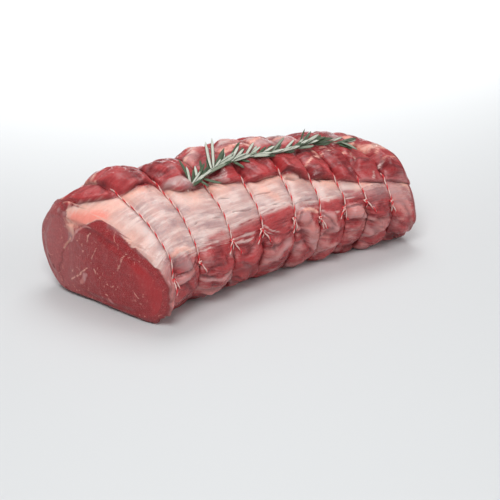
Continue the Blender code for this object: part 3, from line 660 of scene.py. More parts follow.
    def height(self, along: Array, turn: Array, fine: bool = True) -> Array:
        """Give how far the skin stands outside the bare outline.

        Args:
            along: places along the joint.
            turn: turn numbers.
            fine: whether to add the finer relief.

        Returns:
            Heights in metres.
        """
        arch, lobe = self.between_loops(along)
        turn = np.mod(turn, 5.0)
        swell = np.interp(turn, *zip(*self.swell))
        swell = np.where((lobe == 0) & (turn > 1.5), swell * self.first_lobe_top, swell)
        wave = np.sin(2.1 * lobe + 4.0 * turn) * np.sin(1.3 * lobe - 2.0 * turn)
        seam = self.seam_turn(along)
        over = ramp(seam - self.seam_width / 3.0, seam + self.seam_width, turn)
        over = over * ramp(self.seam_ends[1], self.seam_ends[0], turn)
        step = self.seam_step * over * (self.seam_step_at_loop + (1.0 - self.seam_step_at_loop) * arch)
        if fine:
            thinner, thin_start, thin_end = self.thin_step
            step = step * (1.0 - thinner * ramp(thin_start, thin_end, along))
        flank = ramp(1.0, 1.2, turn) * (1.0 - ramp(seam - 0.05, seam, turn))
        crease = np.exp(-((turn - np.take(self.creases, lobe)) / self.crease_width) ** 2) * self.crease_depth
        calm = 1.0 - (1.0 - self.flank_calm) * flank
        rough = sum(self.lumps(along, turn, lobe, size) * tall for size, tall in self.relief)
        low_top = 1.0 - self.low_top * ramp(*self.low_top_from, along) * plateau(self.low_top_turns, turn)
        lobes = swell * low_top * (1.0 + self.swell_varies * wave) - crease
        out = lobes * arch + step + rough * arch * calm
        if fine:
            _, _, open_arch = self.closing(along, turn)
            opened = np.minimum(open_arch, 1.0) - arch
            out = out + swell * opened * ramp(self.first, self.first + 0.006, along)
            knobs = sum(self.lumps(along, turn, lobe + 11.0, size) * tall for size, tall in self.knobs)
            near_end = ramp(self.last - 0.024, self.last - 0.004, along)
            muscle = (1.0 - 0.8 * flank) * arch * (1.0 - self.end_calm * near_end) * (0.45 + 0.55 * low_top)
            out = out + knobs * muscle - self.fold_lines(along, turn, lobe) * self.folds[1] * muscle
            dip = plateau(self.low_back_from, along) * plateau(self.low_back_turns, turn)
            out = out - self.low_back * dip * arch
            shoulder = sum(np.exp(-(((turn - mid) / half) ** 2)) * tall for mid, half, tall in self.shoulders)
            out = out + shoulder * ramp(*self.shoulders_from, along)
        return out

    def skin(
        self, along: Array, turn: Array, inset: Array | float = 0.0,
        lift: Array | float | None = None, extra: Array | float = 0.0, fine: bool = False,
    ) -> Array:
        """Place points of the skin.

        Args:
            along: places along the joint.
            turn: turn numbers.
            inset: how far to draw the points in.
            lift: the height above the bare outline, in place of the skin's own.
            extra: height to add.
            fine: whether the skin has its finer relief and its overhang at the seam.

        Returns:
            Rows of x, y, z in the joint's own frame.
        """
        along, turn = np.broadcast_arrays(*(np.atleast_1d(each).astype(float) for each in (along, turn)))
        out = (self.height(along, turn, fine) if lift is None else lift) - inset + extra
        place = turn
        if fine:
            arch, _ = self.between_loops(along)
            past = np.mod(turn, 5.0) - self.seam_turn(along) + self.seam_width / 3.0
            reach = past / (self.seam_width * 3.0)
            place = turn - self.lip * np.sin(math.pi * np.clip(reach, 0.0, 1.0)) * (0.3 + 0.7 * arch)
        lean, y, z = self.outline(along, place)
        nudge = 0.001
        _, y_before, z_before = self.outline(along, place - nudge)
        _, y_after, z_after = self.outline(along, place + nudge)
        normal_y = z_before - z_after
        normal_z = y_after - y_before
        size = np.hypot(normal_y, normal_z) + 1e-12
        y = y + normal_y / size * out
        z = z + normal_z / size * out
        if lift is None:
            z = np.maximum(z, 0.0)
        bow, bow_y, bow_half, bow_reach = self.bow
        bulge = np.maximum(1.0 - ((y - bow_y) / bow_half) ** 2, 0.0)
        x = along - lean * y - bow * bulge * ramp(self.first + bow_reach, self.first, along)
        if fine:
            x = x + self.closing(along, turn)[1] + self.fanned(along, turn)
            near_face = ramp(self.first + self.swing_start[0], self.first, along)
            x = x - self.swing * ramp(0.0, self.swing_start[1], y) * near_face
        return np.stack((x, y, z), axis=-1)


class Nodes:
    """Shorthand for building a node tree."""

    def __init__(self, tree: Tree) -> None:
        """Keep the tree to build in."""
        self.tree = tree

    def put(self, kind: str, **values: object) -> Node:
        """Add a node and set its properties.

        Args:
            kind: the node's type.
            values: property names and values.

        Returns:
            The node.
        """
        node = self.tree.nodes.new(kind)
        for name, value in values.items():
            setattr(node, name, value)
        return node

    def feed(self, socket: Socket, value: object) -> None:
        """Link or set an input socket.

        Args:
            socket: the input.
            value: a socket to link, or a number, a vector or a colour to set.
        """
        if isinstance(value, Socket):
            self.tree.links.new(value, socket)
        elif isinstance(value, tuple) and socket.type == "RGBA" and len(value) == 3:
            socket.default_value = (*value, 1.0)
        else:
            socket.default_value = value

    def attribute(self, name: str) -> Socket:
        """Read a number stored on the mesh."""
        return self.put("ShaderNodeAttribute", attribute_name=name).outputs["Fac"]

    def vector_attribute(self, name: str) -> Socket:
        """Read a vector stored on the mesh."""
        return self.put("ShaderNodeAttribute", attribute_name=name).outputs["Vector"]

    def math(self, how: str, a: object, b: object = 0.0, clamp: bool = False) -> Socket:
        """Combine two numbers.

        Args:
            how: the operation.
            a: the first number or socket.
            b: the second.
            clamp: whether to keep the result from 0 to 1.

        Returns:
            The result's socket.
        """
        node = self.put("ShaderNodeMath", operation=how, use_clamp=clamp)
        self.feed(node.inputs[0], a)
        self.feed(node.inputs[1], b)
        return node.outputs[0]

    def times(self, a: object, b: object, clamp: bool = False) -> Socket:
        """Multiply two numbers."""
        return self.math("MULTIPLY", a, b, clamp)

    def plus(self, a: object, b: object) -> Socket:
        """Add two numbers."""
        return self.math("ADD", a, b)

    def span(
        self, value: object, low: float, high: float, to_low: float = 0.0, to_high: float = 1.0,
    ) -> Socket:
        """Map a number smoothly from one range to another.

        Args:
            value: the number's socket.
            low: the range's start.
            high: its end.
            to_low: the result at the start.
            to_high: the result at the end.

        Returns:
            The result's socket.
        """
        node = self.put("ShaderNodeMapRange", interpolation_type="SMOOTHSTEP")
        self.feed(node.inputs["Value"], value)
        for name, number in zip(("From Min", "From Max", "To Min", "To Max"), (low, high, to_low, to_high)):
            node.inputs[name].default_value = number
        return node.outputs["Result"]

    def mix(self, share: object, a: object, b: object, how: str = "MIX") -> Socket:
        """Blend two colours.

        Args:
            share: how much of the second.
            a: the first colour.
            b: the second.
            how: the blend type.

        Returns:
            The blend's socket.
        """
        node = self.put("ShaderNodeMix", data_type="RGBA", blend_type=how)
        self.feed(node.inputs["Factor"], share)
        self.feed(node.inputs["A"], a)
        self.feed(node.inputs["B"], b)
        return node.outputs["Result"]

    def stretch(self, vector: object, by: tuple[float, float, float]) -> Socket:
        """Multiply a vector by three factors.

        Args:
            vector: the vector's socket.
            by: the factors.

        Returns:
            The result's socket.
        """
        node = self.put("ShaderNodeVectorMath", operation="MULTIPLY")
        self.feed(node.inputs[0], vector)
        node.inputs[1].default_value = by
        return node.outputs["Vector"]

    def noise(
        self, vector: object, scale: float, detail: float = 2.0, rough: float = 0.5, twist: float = 0.0,
    ) -> Socket:
        """Sample noise.

        Args:
            vector: where.
            scale: waves a metre.
            detail: octaves.
            rough: how strong the finer octaves are.
            twist: distortion.

        Returns:
            The value's socket, about 0.5 on average.
        """
        node = self.put("ShaderNodeTexNoise")
        self.feed(node.inputs["Vector"], vector)
        names = ("Scale", "Detail", "Roughness", "Distortion")
        for name, number in zip(names, (scale, detail, rough, twist)):
            node.inputs[name].default_value = number
        return node.outputs["Fac"]

    def bump(self, shader: Node, height: object, strength: float, distance: float) -> None:
        """Raise and lower a shader's surface.

        Args:
            shader: the Principled shader.
            height: the height's socket.
            strength: how much of it to use.
            distance: metres for a height of 1.
        """
        node = self.put("ShaderNodeBump")
        node.inputs["Strength"].default_value = strength
        node.inputs["Distance"].default_value = distance
        self.feed(node.inputs["Height"], height)
        self.feed(shader.inputs["Normal"], node.outputs["Normal"])

    def group(self, tree: Tree, **values: object) -> Node:
        """Place a node group.

        Args:
            tree: the group.
            values: its inputs by name, with _ for a space.

        Returns:
            The group's node.
        """
        node = self.put("ShaderNodeGroup")
        node.node_tree = tree
        for name, value in values.items():
            self.feed(node.inputs[name.replace("_", " ")], value)
        return node


def new_group(
    name: str, inputs: Sequence[tuple[str, str, object]], outputs: Sequence[tuple[str, str]],
) -> Tree:
    """Start a shader node group with named sockets.

    Args:
        name: the group's name.
        inputs: name, socket type and default value of each input.
        outputs: name and socket type of each output.

    Returns:
        The group, with its input and output nodes in place.
    """
    tree = bpy.data.node_groups.new(name, "ShaderNodeTree")
    for label, kind, value in inputs:
        socket = tree.interface.new_socket(name=label, in_out="INPUT", socket_type=kind)
        if value is not None:
            socket.default_value = value
    for label, kind in outputs:
        tree.interface.new_socket(name=label, in_out="OUTPUT", socket_type=kind)
    tree.nodes.new("NodeGroupInput")
    tree.nodes.new("NodeGroupOutput")
    return tree


class Effects:
    """The shader node groups that several finishes share."""

    def __init__(self) -> None:
        """Build each group once."""
        self.strands = self.make_strands()
        self.patch = self.make_patch()
        self.moisture = self.make_moisture()

    def ragged(
        self, build: Nodes, name: str, wave: Socket, rough: float, edge: float,
    ) -> Socket:
        """Read a number stored on the mesh as a ragged patch.

        Args:
            build: the material's nodes.
            name: the number's name.
            wave: the noise that frays the patch.
            rough: how far it frays.
            edge: half the width of the patch's edge.

        Returns:
            The mask's socket.
        """
        node = build.group(self.patch, Field=build.attribute(name), Noise=wave, Ragged=rough, Softness=edge)
        return node.outputs["Mask"]

    def damp(
        self, build: Nodes, lie: Socket, size: float, wet: float, dry: float,
    ) -> Socket:
        """Read the roughness of a damp surface.

        Args:
            build: the material's nodes.
            lie: the pattern's coordinates.
            size: blotches a metre.
            wet: the roughness where it is wettest.
            dry: the roughness where it is driest.

        Returns:
            The roughness's socket.
        """
        return build.group(self.moisture, Coordinates=lie, Size=size, Wet=wet, Dry=dry).outputs["Roughness"]

    @staticmethod
    def make_strands() -> Tree:
        """Make streaks that run along a direction and vary across it.

        Returns:
            A group with Coordinates, Along and Across in, and Streak and Fine out.
        """
        tree = new_group(
            "strands",
            (("Coordinates", "NodeSocketVector", None), ("Along", "NodeSocketFloat", 60.0),
             ("Across", "NodeSocketFloat", 500.0)),
            (("Streak", "NodeSocketFloat"), ("Fine", "NodeSocketFloat")),
        )
        build = Nodes(tree)
        entry, leave = tree.nodes["Group Input"], tree.nodes["Group Output"]
        scales = build.put("ShaderNodeCombineXYZ")
        build.feed(scales.inputs[0], entry.outputs["Along"])
        build.feed(scales.inputs[1], entry.outputs["Across"])
        scales.inputs[2].default_value = 1.0
        stretched = build.put("ShaderNodeVectorMath", operation="MULTIPLY")
        build.feed(stretched.inputs[0], entry.outputs["Coordinates"])
        build.feed(stretched.inputs[1], scales.outputs[0])
        build.feed(leave.inputs["Streak"], build.noise(stretched.outputs[0], 1.0, 3.0, 0.6, 0.4))
        build.feed(leave.inputs["Fine"], build.noise(stretched.outputs[0], 2.7, 2.0, 0.6, 0.2))
        return tree

    @staticmethod
    def make_patch() -> Tree:
        """Turn a soft field into a ragged patch.

        Returns:
            A group with Field, Ragged, Noise and Softness in, and Mask out.
        """
        tree = new_group(
            "ragged_patch",
            (("Field", "NodeSocketFloat", 0.0), ("Noise", "NodeSocketFloat", 0.5),
             ("Ragged", "NodeSocketFloat", 0.4), ("Softness", "NodeSocketFloat", 0.12)),
            (("Mask", "NodeSocketFloat"),),
        )
        build = Nodes(tree)
        entry, leave = tree.nodes["Group Input"], tree.nodes["Group Output"]
        wave = build.times(build.math("SUBTRACT", entry.outputs["Noise"], 0.5), entry.outputs["Ragged"])
        level = build.plus(entry.outputs["Field"], wave)
        low = build.math("SUBTRACT", 0.5, entry.outputs["Softness"])
        high = build.plus(0.5, entry.outputs["Softness"])
        node = build.put("ShaderNodeMapRange", interpolation_type="SMOOTHSTEP")
        build.feed(node.inputs["Value"], level)
        build.feed(node.inputs["From Min"], low)
        build.feed(node.inputs["From Max"], high)
        build.feed(leave.inputs["Mask"], node.outputs["Result"])
        return tree

    @staticmethod
    def make_moisture() -> Tree:
        """Vary roughness in wet and dry blotches.

        Returns:
            A group with Coordinates, Size, Wet and Dry in, and Roughness out.
        """
        tree = new_group(
            "moisture",
            (("Coordinates", "NodeSocketVector", None), ("Size", "NodeSocketFloat", 120.0),
             ("Wet", "NodeSocketFloat", 0.25), ("Dry", "NodeSocketFloat", 0.5)),
            (("Roughness", "NodeSocketFloat"),),
        )
        build = Nodes(tree)
        entry, leave = tree.nodes["Group Input"], tree.nodes["Group Output"]
        wave = build.put("ShaderNodeTexNoise")
        build.feed(wave.inputs["Vector"], entry.outputs["Coordinates"])
        build.feed(wave.inputs["Scale"], entry.outputs["Size"])
        wave.inputs["Detail"].default_value = 3.0
        node = build.put("ShaderNodeMapRange", interpolation_type="SMOOTHSTEP")
        build.feed(node.inputs["Value"], wave.outputs["Fac"])
        node.inputs["From Min"].default_value = 0.35
        node.inputs["From Max"].default_value = 0.65
        build.feed(node.inputs["To Min"], entry.outputs["Wet"])
        build.feed(node.inputs["To Max"], entry.outputs["Dry"])
        build.feed(leave.inputs["Roughness"], node.outputs["Result"])
        return tree


def new_material(name: str) -> tuple[Material, Nodes, Node]:
    """Start a material.

    Args:
        name: its name.

    Returns:
        The material, a builder for its nodes, and its Principled shader.
    """
    finish = bpy.data.materials.new(name)
    finish.use_nodes = True
    return finish, Nodes(finish.node_tree), finish.node_tree.nodes["Principled BSDF"]


@dataclass(frozen=True)
class RawMeatFinish:
    """Raw beef: red muscle, silverskin, fat and thin films, with painted shade in its creases and painted
    highlights on the silverskin.
    """

    deep: Colour = (0.19, 0.018, 0.022)
    muscle: Colour = (0.43, 0.048, 0.052)
    lit: Colour = (0.49, 0.068, 0.07)
    cut: Colour = (0.29, 0.011, 0.015)
    cut_lit: Colour = (0.39, 0.024, 0.029)
    silver: Colour = (0.57, 0.355, 0.33)
    silver_pale: Colour = (0.78, 0.605, 0.565)
    silver_grey: Colour = (0.42, 0.262, 0.26)
    fat: Colour = (0.89, 0.43, 0.345)
    fat_pale: Colour = (0.88, 0.49, 0.395)
    salmon: Colour = (0.9, 0.31, 0.25)
    film: Colour = (0.6, 0.3, 0.295)
    pink: Colour = (0.64, 0.245, 0.225)
    blood: Colour = (0.22, 0.008, 0.012)
    bright: Colour = (0.46, 0.03, 0.034)
    # Painted shade: the dark colour that grooves, creases and the foot are darkened towards.
    painted_shade: Colour = (0.1, 0.018, 0.022)

    def make(self, effects: Effects) -> Material:
        """Build the material.

        Args:
            effects: the shared node groups.

        Returns:
            The material.
        """
        finish, build, shader = new_material("raw_beef")
        lie = build.vector_attribute("lie")
        strands = build.group(effects.strands, Coordinates=lie, Along=45.0, Across=420.0)
        streak, fine = strands.outputs["Streak"], strands.outputs["Fine"]
        broad = build.noise(lie, 55.0, 3.0, 0.55, 0.6)
        mottle = build.noise(lie, 260.0, 4.0, 0.65, 0.3)
        grain = build.noise(lie, 1500.0, 2.0, 0.6)
        ragged = build.noise(build.stretch(lie, (0.55, 1.0, 1.0)), 330.0, 4.0, 0.65, 0.5)

        soft = build.noise(build.stretch(lie, (0.3, 1.0, 1.0)), 150.0, 3.0, 0.55, 0.3)
        fray = build.plus(build.times(ragged, 0.4), build.times(streak, 0.6))

        def mask(name: str, rough: float, edge: float, wave: Socket = ragged) -> Socket:
            """Read one tissue's field as a patch with a frayed edge."""
            return effects.ragged(build, name, wave, rough, edge)

        # Grey patches: grey-mauve skin, with painted shade beside the twine.
        grey_and_shade = mask("grey", 1.0, 0.42, soft)
        tone = build.plus(build.times(broad, 0.6), build.times(streak, 0.4))
        colour = build.mix(build.span(tone, 0.36, 0.54), self.deep, self.muscle)
        colour = build.mix(build.span(tone, 0.5, 0.7), colour, self.lit)
        colour = build.mix(build.times(build.span(fine, 0.56, 0.72), 0.18), colour, self.film)
        film = build.noise(build.stretch(lie, (0.5, 1.0, 1.0)), 90.0, 4.0, 0.6, 0.8)
        film = build.times(build.span(film, 0.58, 0.7), build.span(streak, 0.42, 0.6))
        colour = build.mix(build.times(film, 0.36), colour, self.film)
        face = build.mix(build.span(mottle, 0.35, 0.68), self.cut, self.cut_lit)
        face = build.mix(build.times(build.span(broad, 0.5, 0.7), 0.35), face, self.cut)
        face = build.mix(build.times(build.span(grain, 0.5, 0.66), 0.36), face, self.film)
        face = build.mix(build.times(build.span(grain, 0.34, 0.48, 1.0, 0.0), 0.55), face, self.deep)
        face = build.mix(build.times(build.attribute("warm"), 0.26), face, self.film)
        veins = build.put("ShaderNodeTexVoronoi", feature="DISTANCE_TO_EDGE")
        bent = build.put("ShaderNodeVectorMath", operation="MULTIPLY_ADD")
        warp = build.put("ShaderNodeTexNoise")
        build.feed(warp.inputs["Vector"], lie)
        warp.inputs["Scale"].default_value = 160.0
        build.feed(bent.inputs[0], warp.outputs["Color"])
        bent.inputs[1].default_value = (0.006, 0.006, 0.0)
        build.feed(bent.inputs[2], lie)
        build.feed(veins.inputs["Vector"], bent.outputs["Vector"])
        veins.inputs["Scale"].default_value = 75.0
        line = build.span(veins.outputs["Distance"], 0.0, 0.028, 1.0, 0.0)
        vein = build.times(line, build.span(mottle, 0.48, 0.62))
        face = build.mix(build.times(vein, build.span(broad, 0.42, 0.6, 0.1, 0.7)), face, self.fat_pale)
        colour = build.mix(build.attribute("cut"), colour, face)
        # Darker patches: dark juice low on the lobes, painted shade at the top of the eye and over its rounded
        # edge, and darker over the top towards the small end.
        colour = build.mix(mask("dark", 0.5, 0.35), colour, build.mix(0.55, colour, self.deep))
        colour = build.mix(build.times(mask("bright", 0.5, 0.35), 0.7), colour, self.bright)
        pink = build.mix(build.span(soft, 0.38, 0.62), self.pink, self.film)
        colour = build.mix(build.times(mask("pink", 0.7, 0.22), 0.85), colour, pink)

        bare = mask("red", 1.4, 0.26, fray)
        cover = build.times(mask("cover", 1.9, 0.34, fray), build.math("SUBTRACT", 1.0, bare))
        bands = build.group(effects.strands, Coordinates=lie, Along=22.0, Across=210.0).outputs["Streak"]
        sheet = build.plus(build.times(bands, 0.65), build.times(streak, 0.35))
        silver = build.mix(build.span(sheet, 0.4, 0.64), self.silver, self.silver_pale)
        silver = build.mix(build.times(build.span(soft, 0.48, 0.64), 0.7), silver, self.silver_grey)
        silver = build.mix(build.times(build.span(fine, 0.3, 0.42, 1.0, 0.0), 0.22), silver, self.silver_grey)
        silver = build.mix(build.times(grey_and_shade, 0.8), silver, self.silver_grey)
        # Paler patches of silverskin, partly painted highlights.
        pale_and_highlight = mask("silver", 1.0, 0.42, soft)
        silver = build.mix(build.times(pale_and_highlight, 0.8), silver, self.silver_pale)
        warmth = build.plus(build.attribute("warm"), build.times(build.span(broad, 0.5, 0.66), 0.2))
        warmth = build.times(warmth, build.span(soft, 0.3, 0.62, 0.45, 1.0), clamp=True)
        silver = build.mix(warmth, silver, self.fat_pale)
        # The same patches laid over the muscle as pale film and painted highlights.
        film_and_highlight = mask("silver", 1.5, 0.22, fray)
        pale = build.math("MAXIMUM", cover, build.times(film_and_highlight, 0.75))
        colour = build.mix(pale, colour, silver)
        # The grey patches and their painted shade where the silverskin does not cover.
        grey = build.times(grey_and_shade, build.math("SUBTRACT", 0.7, cover), clamp=True)
        colour = build.mix(grey, colour, self.silver_grey)

        fat = build.mix(build.span(ragged, 0.35, 0.65), self.fat, self.fat_pale)
        on_skin = build.math("SUBTRACT", 1.0, build.times(cover, 0.35))
        colour = build.mix(build.times(mask("fat", 1.2, 0.4), on_skin), colour, fat)
        colour = build.mix(mask("salmon", 0.8, 0.34), colour, self.salmon)
        gristle = mask("gristle", 1.3, 0.2, mottle)
        colour = build.mix(build.times(gristle, 0.62), colour, self.fat_pale)
        # Painted shade in the grooves by the twine, under the seam's overhang, along the fold lines and
        # towards the foot.
        colour = build.mix(build.times(build.attribute("painted_shade"), 0.85), colour, self.painted_shade)
        # Split lines in the film: darker where it parts, and darkened towards the painted shade colour because
        # they are creases.
        split = build.times(mask("split", 0.5, 0.34), 0.8)
        colour = build.mix(split, colour, build.mix(0.55, colour, self.painted_shade))
        colour = build.mix(mask("blood", 0.6, 0.2), colour, self.blood)
        build.feed(shader.inputs["Base Color"], colour)

        drier = build.times(build.attribute("cut"), 0.11)
        rough = build.plus(effects.damp(build, lie, 110.0, 0.17, 0.42), drier)
        build.feed(shader.inputs["Roughness"], rough)
        smooth = build.times(cover, 0.25)
        rise = build.times(streak, build.math("SUBTRACT", 0.5, smooth))
        rise = build.plus(rise, build.times(mottle, 0.55))
        rise = build.plus(rise, build.times(fine, 0.2))
        rise = build.plus(rise, build.times(grain, 0.12))
        build.bump(shader, rise, 1.0, 0.001)
        shader.inputs["Specular IOR Level"].default_value = 0.34
        shader.inputs["Coat Weight"].default_value = 0.1
        shader.inputs["Coat Roughness"].default_value = 0.22
        shader.inputs["Subsurface Weight"].default_value = 0.18
        shader.inputs["Subsurface Radius"].default_value = (1.0, 0.32, 0.26)
        shader.inputs["Subsurface Scale"].default_value = 0.003
        return finish


@dataclass(frozen=True)
class TwineFinish:
    """Butcher's twine: damp cotton with one red yarn in it."""

    cotton: Colour = (0.83, 0.62, 0.56)
    cotton_shade: Colour = (0.6, 0.36, 0.33)
    red: Colour = (0.66, 0.024, 0.034)

    def make(self, effects: Effects) -> Material:
        """Build the material.

        Args:
            effects: the shared node groups.

        Returns:
            The material.
        """
        finish, build, shader = new_material("butchers_twine")
        lie = build.vector_attribute("lie")
        strands = build.group(effects.strands, Coordinates=lie, Along=350.0, Across=2600.0)
        colour = build.mix(build.span(strands.outputs["Streak"], 0.3, 0.7), self.cotton_shade, self.cotton)
        red = effects.ragged(build, "yarn", strands.outputs["Fine"], 0.25, 0.08)
        build.feed(shader.inputs["Base Color"], build.mix(red, colour, self.red))
        build.feed(shader.inputs["Roughness"], effects.damp(build, lie, 400.0, 0.55, 0.85))
        build.bump(shader, strands.outputs["Streak"], 0.6, 0.0003)
        return finish


@dataclass(frozen=True)
class NeedleFinish:
    """Rosemary leaves: dark green above, pale grey-green and felted below, some darker there."""

    above: Colour = (0.03, 0.055, 0.026)
    above_lit: Colour = (0.09, 0.135, 0.07)
    below: Colour = (0.7, 0.71, 0.63)
    below_shade: Colour = (0.45, 0.47, 0.385)
    below_dark: Colour = (0.12, 0.165, 0.095)

    def make(self, effects: Effects) -> Material:
        """Build the material.

        Args:
            effects: the shared node groups.

        Returns:
            The material.
        """
        finish, build, shader = new_material("rosemary_leaf")
        lie = build.vector_attribute("lie")
        strands = build.group(effects.strands, Coordinates=lie, Along=120.0, Across=1500.0)
        above = build.mix(build.span(strands.outputs["Streak"], 0.35, 0.65), self.above, self.above_lit)
        below = build.mix(build.span(strands.outputs["Fine"], 0.35, 0.65), self.below_shade, self.below)
        below = build.mix(build.attribute("tone"), below, self.below_dark)
        edge = build.math("SUBTRACT", build.attribute("side"), 0.2)
        streak = strands.outputs["Streak"]
        side = build.group(effects.patch, Field=edge, Noise=streak, Ragged=0.3, Softness=0.12)
        build.feed(shader.inputs["Base Color"], build.mix(side.outputs["Mask"], above, below))
        build.feed(shader.inputs["Roughness"], effects.damp(build, lie, 200.0, 0.38, 0.62))
        build.bump(shader, strands.outputs["Streak"], 0.5, 0.0003)
        return finish


@dataclass(frozen=True)
class StemFinish:
    """The sprig's woody stem: brown bark, pale at the cut."""

    bark: Colour = (0.23, 0.17, 0.12)
    bark_lit: Colour = (0.4, 0.33, 0.26)
    cut: Colour = (0.52, 0.33, 0.3)

    def make(self, effects: Effects) -> Material:
        """Build the material.

        Args:
            effects: the shared node groups.

        Returns:
            The material.
        """
        finish, build, shader = new_material("rosemary_stem")
        lie = build.vector_attribute("lie")
        strands = build.group(effects.strands, Coordinates=lie, Along=300.0, Across=1200.0)
        colour = build.mix(build.span(strands.outputs["Streak"], 0.35, 0.65), self.bark, self.bark_lit)
        cut = effects.ragged(build, "yarn", strands.outputs["Fine"], 0.3, 0.2)
        build.feed(shader.inputs["Base Color"], build.mix(cut, colour, self.cut))
        build.feed(shader.inputs["Roughness"], effects.damp(build, lie, 300.0, 0.55, 0.8))
        build.bump(shader, strands.outputs["Streak"], 0.7, 0.0004)
        return finish


def make_piece(
    name: str, points: Array, faces: Sequence[Sequence[int]], finish: Material,
    numbers: dict[str, Array], lie: Array,
) -> Item:
    """Make a smooth mesh object with its numbers stored at its vertices.

    Args:
        name: the object's name.
        points: rows of x, y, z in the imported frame.
        faces: corner numbers of each face.
        finish: its material.
        numbers: named values, one a vertex.
        lie: rows of the coordinates that its patterns follow.

    Returns:
        The object.
    """
    mesh = bpy.data.meshes.new(name)
    mesh.from_pydata(points.tolist(), [], [tuple(f) for f in faces])
    mesh.shade_smooth()
    mesh.materials.append(finish)
    for label, values in numbers.items():
        stored = mesh.attributes.new(label, "FLOAT", "POINT")
        stored.data.foreach_set("value", np.asarray(values, np.float32))
    stored = mesh.attributes.new("lie", "FLOAT_VECTOR", "POINT")
    stored.data.foreach_set("vector", np.asarray(lie, np.float32).ravel())
    mesh.validate()
    mesh.update()
    item = bpy.data.objects.new(name, mesh)
    bpy.context.scene.collection.objects.link(item)
    return item


def grid_faces(rows: int, columns: int, start: int = 0) -> list[tuple[int, int, int, int]]:
    """List the faces between closed rings.

    Args:
        rows: how many rings.
        columns: points in each ring.
        start: the first point's number.

    Returns:
        Four-cornered faces that look outwards when the rings run anticlockwise about their path.
    """
    faces = []
    for row in range(rows - 1):
        low = start + row * columns
        for column in range(columns):
            after = (column + 1) % columns
            faces.append((low + column, low + after, low + columns + after, low + columns + column))
    return faces


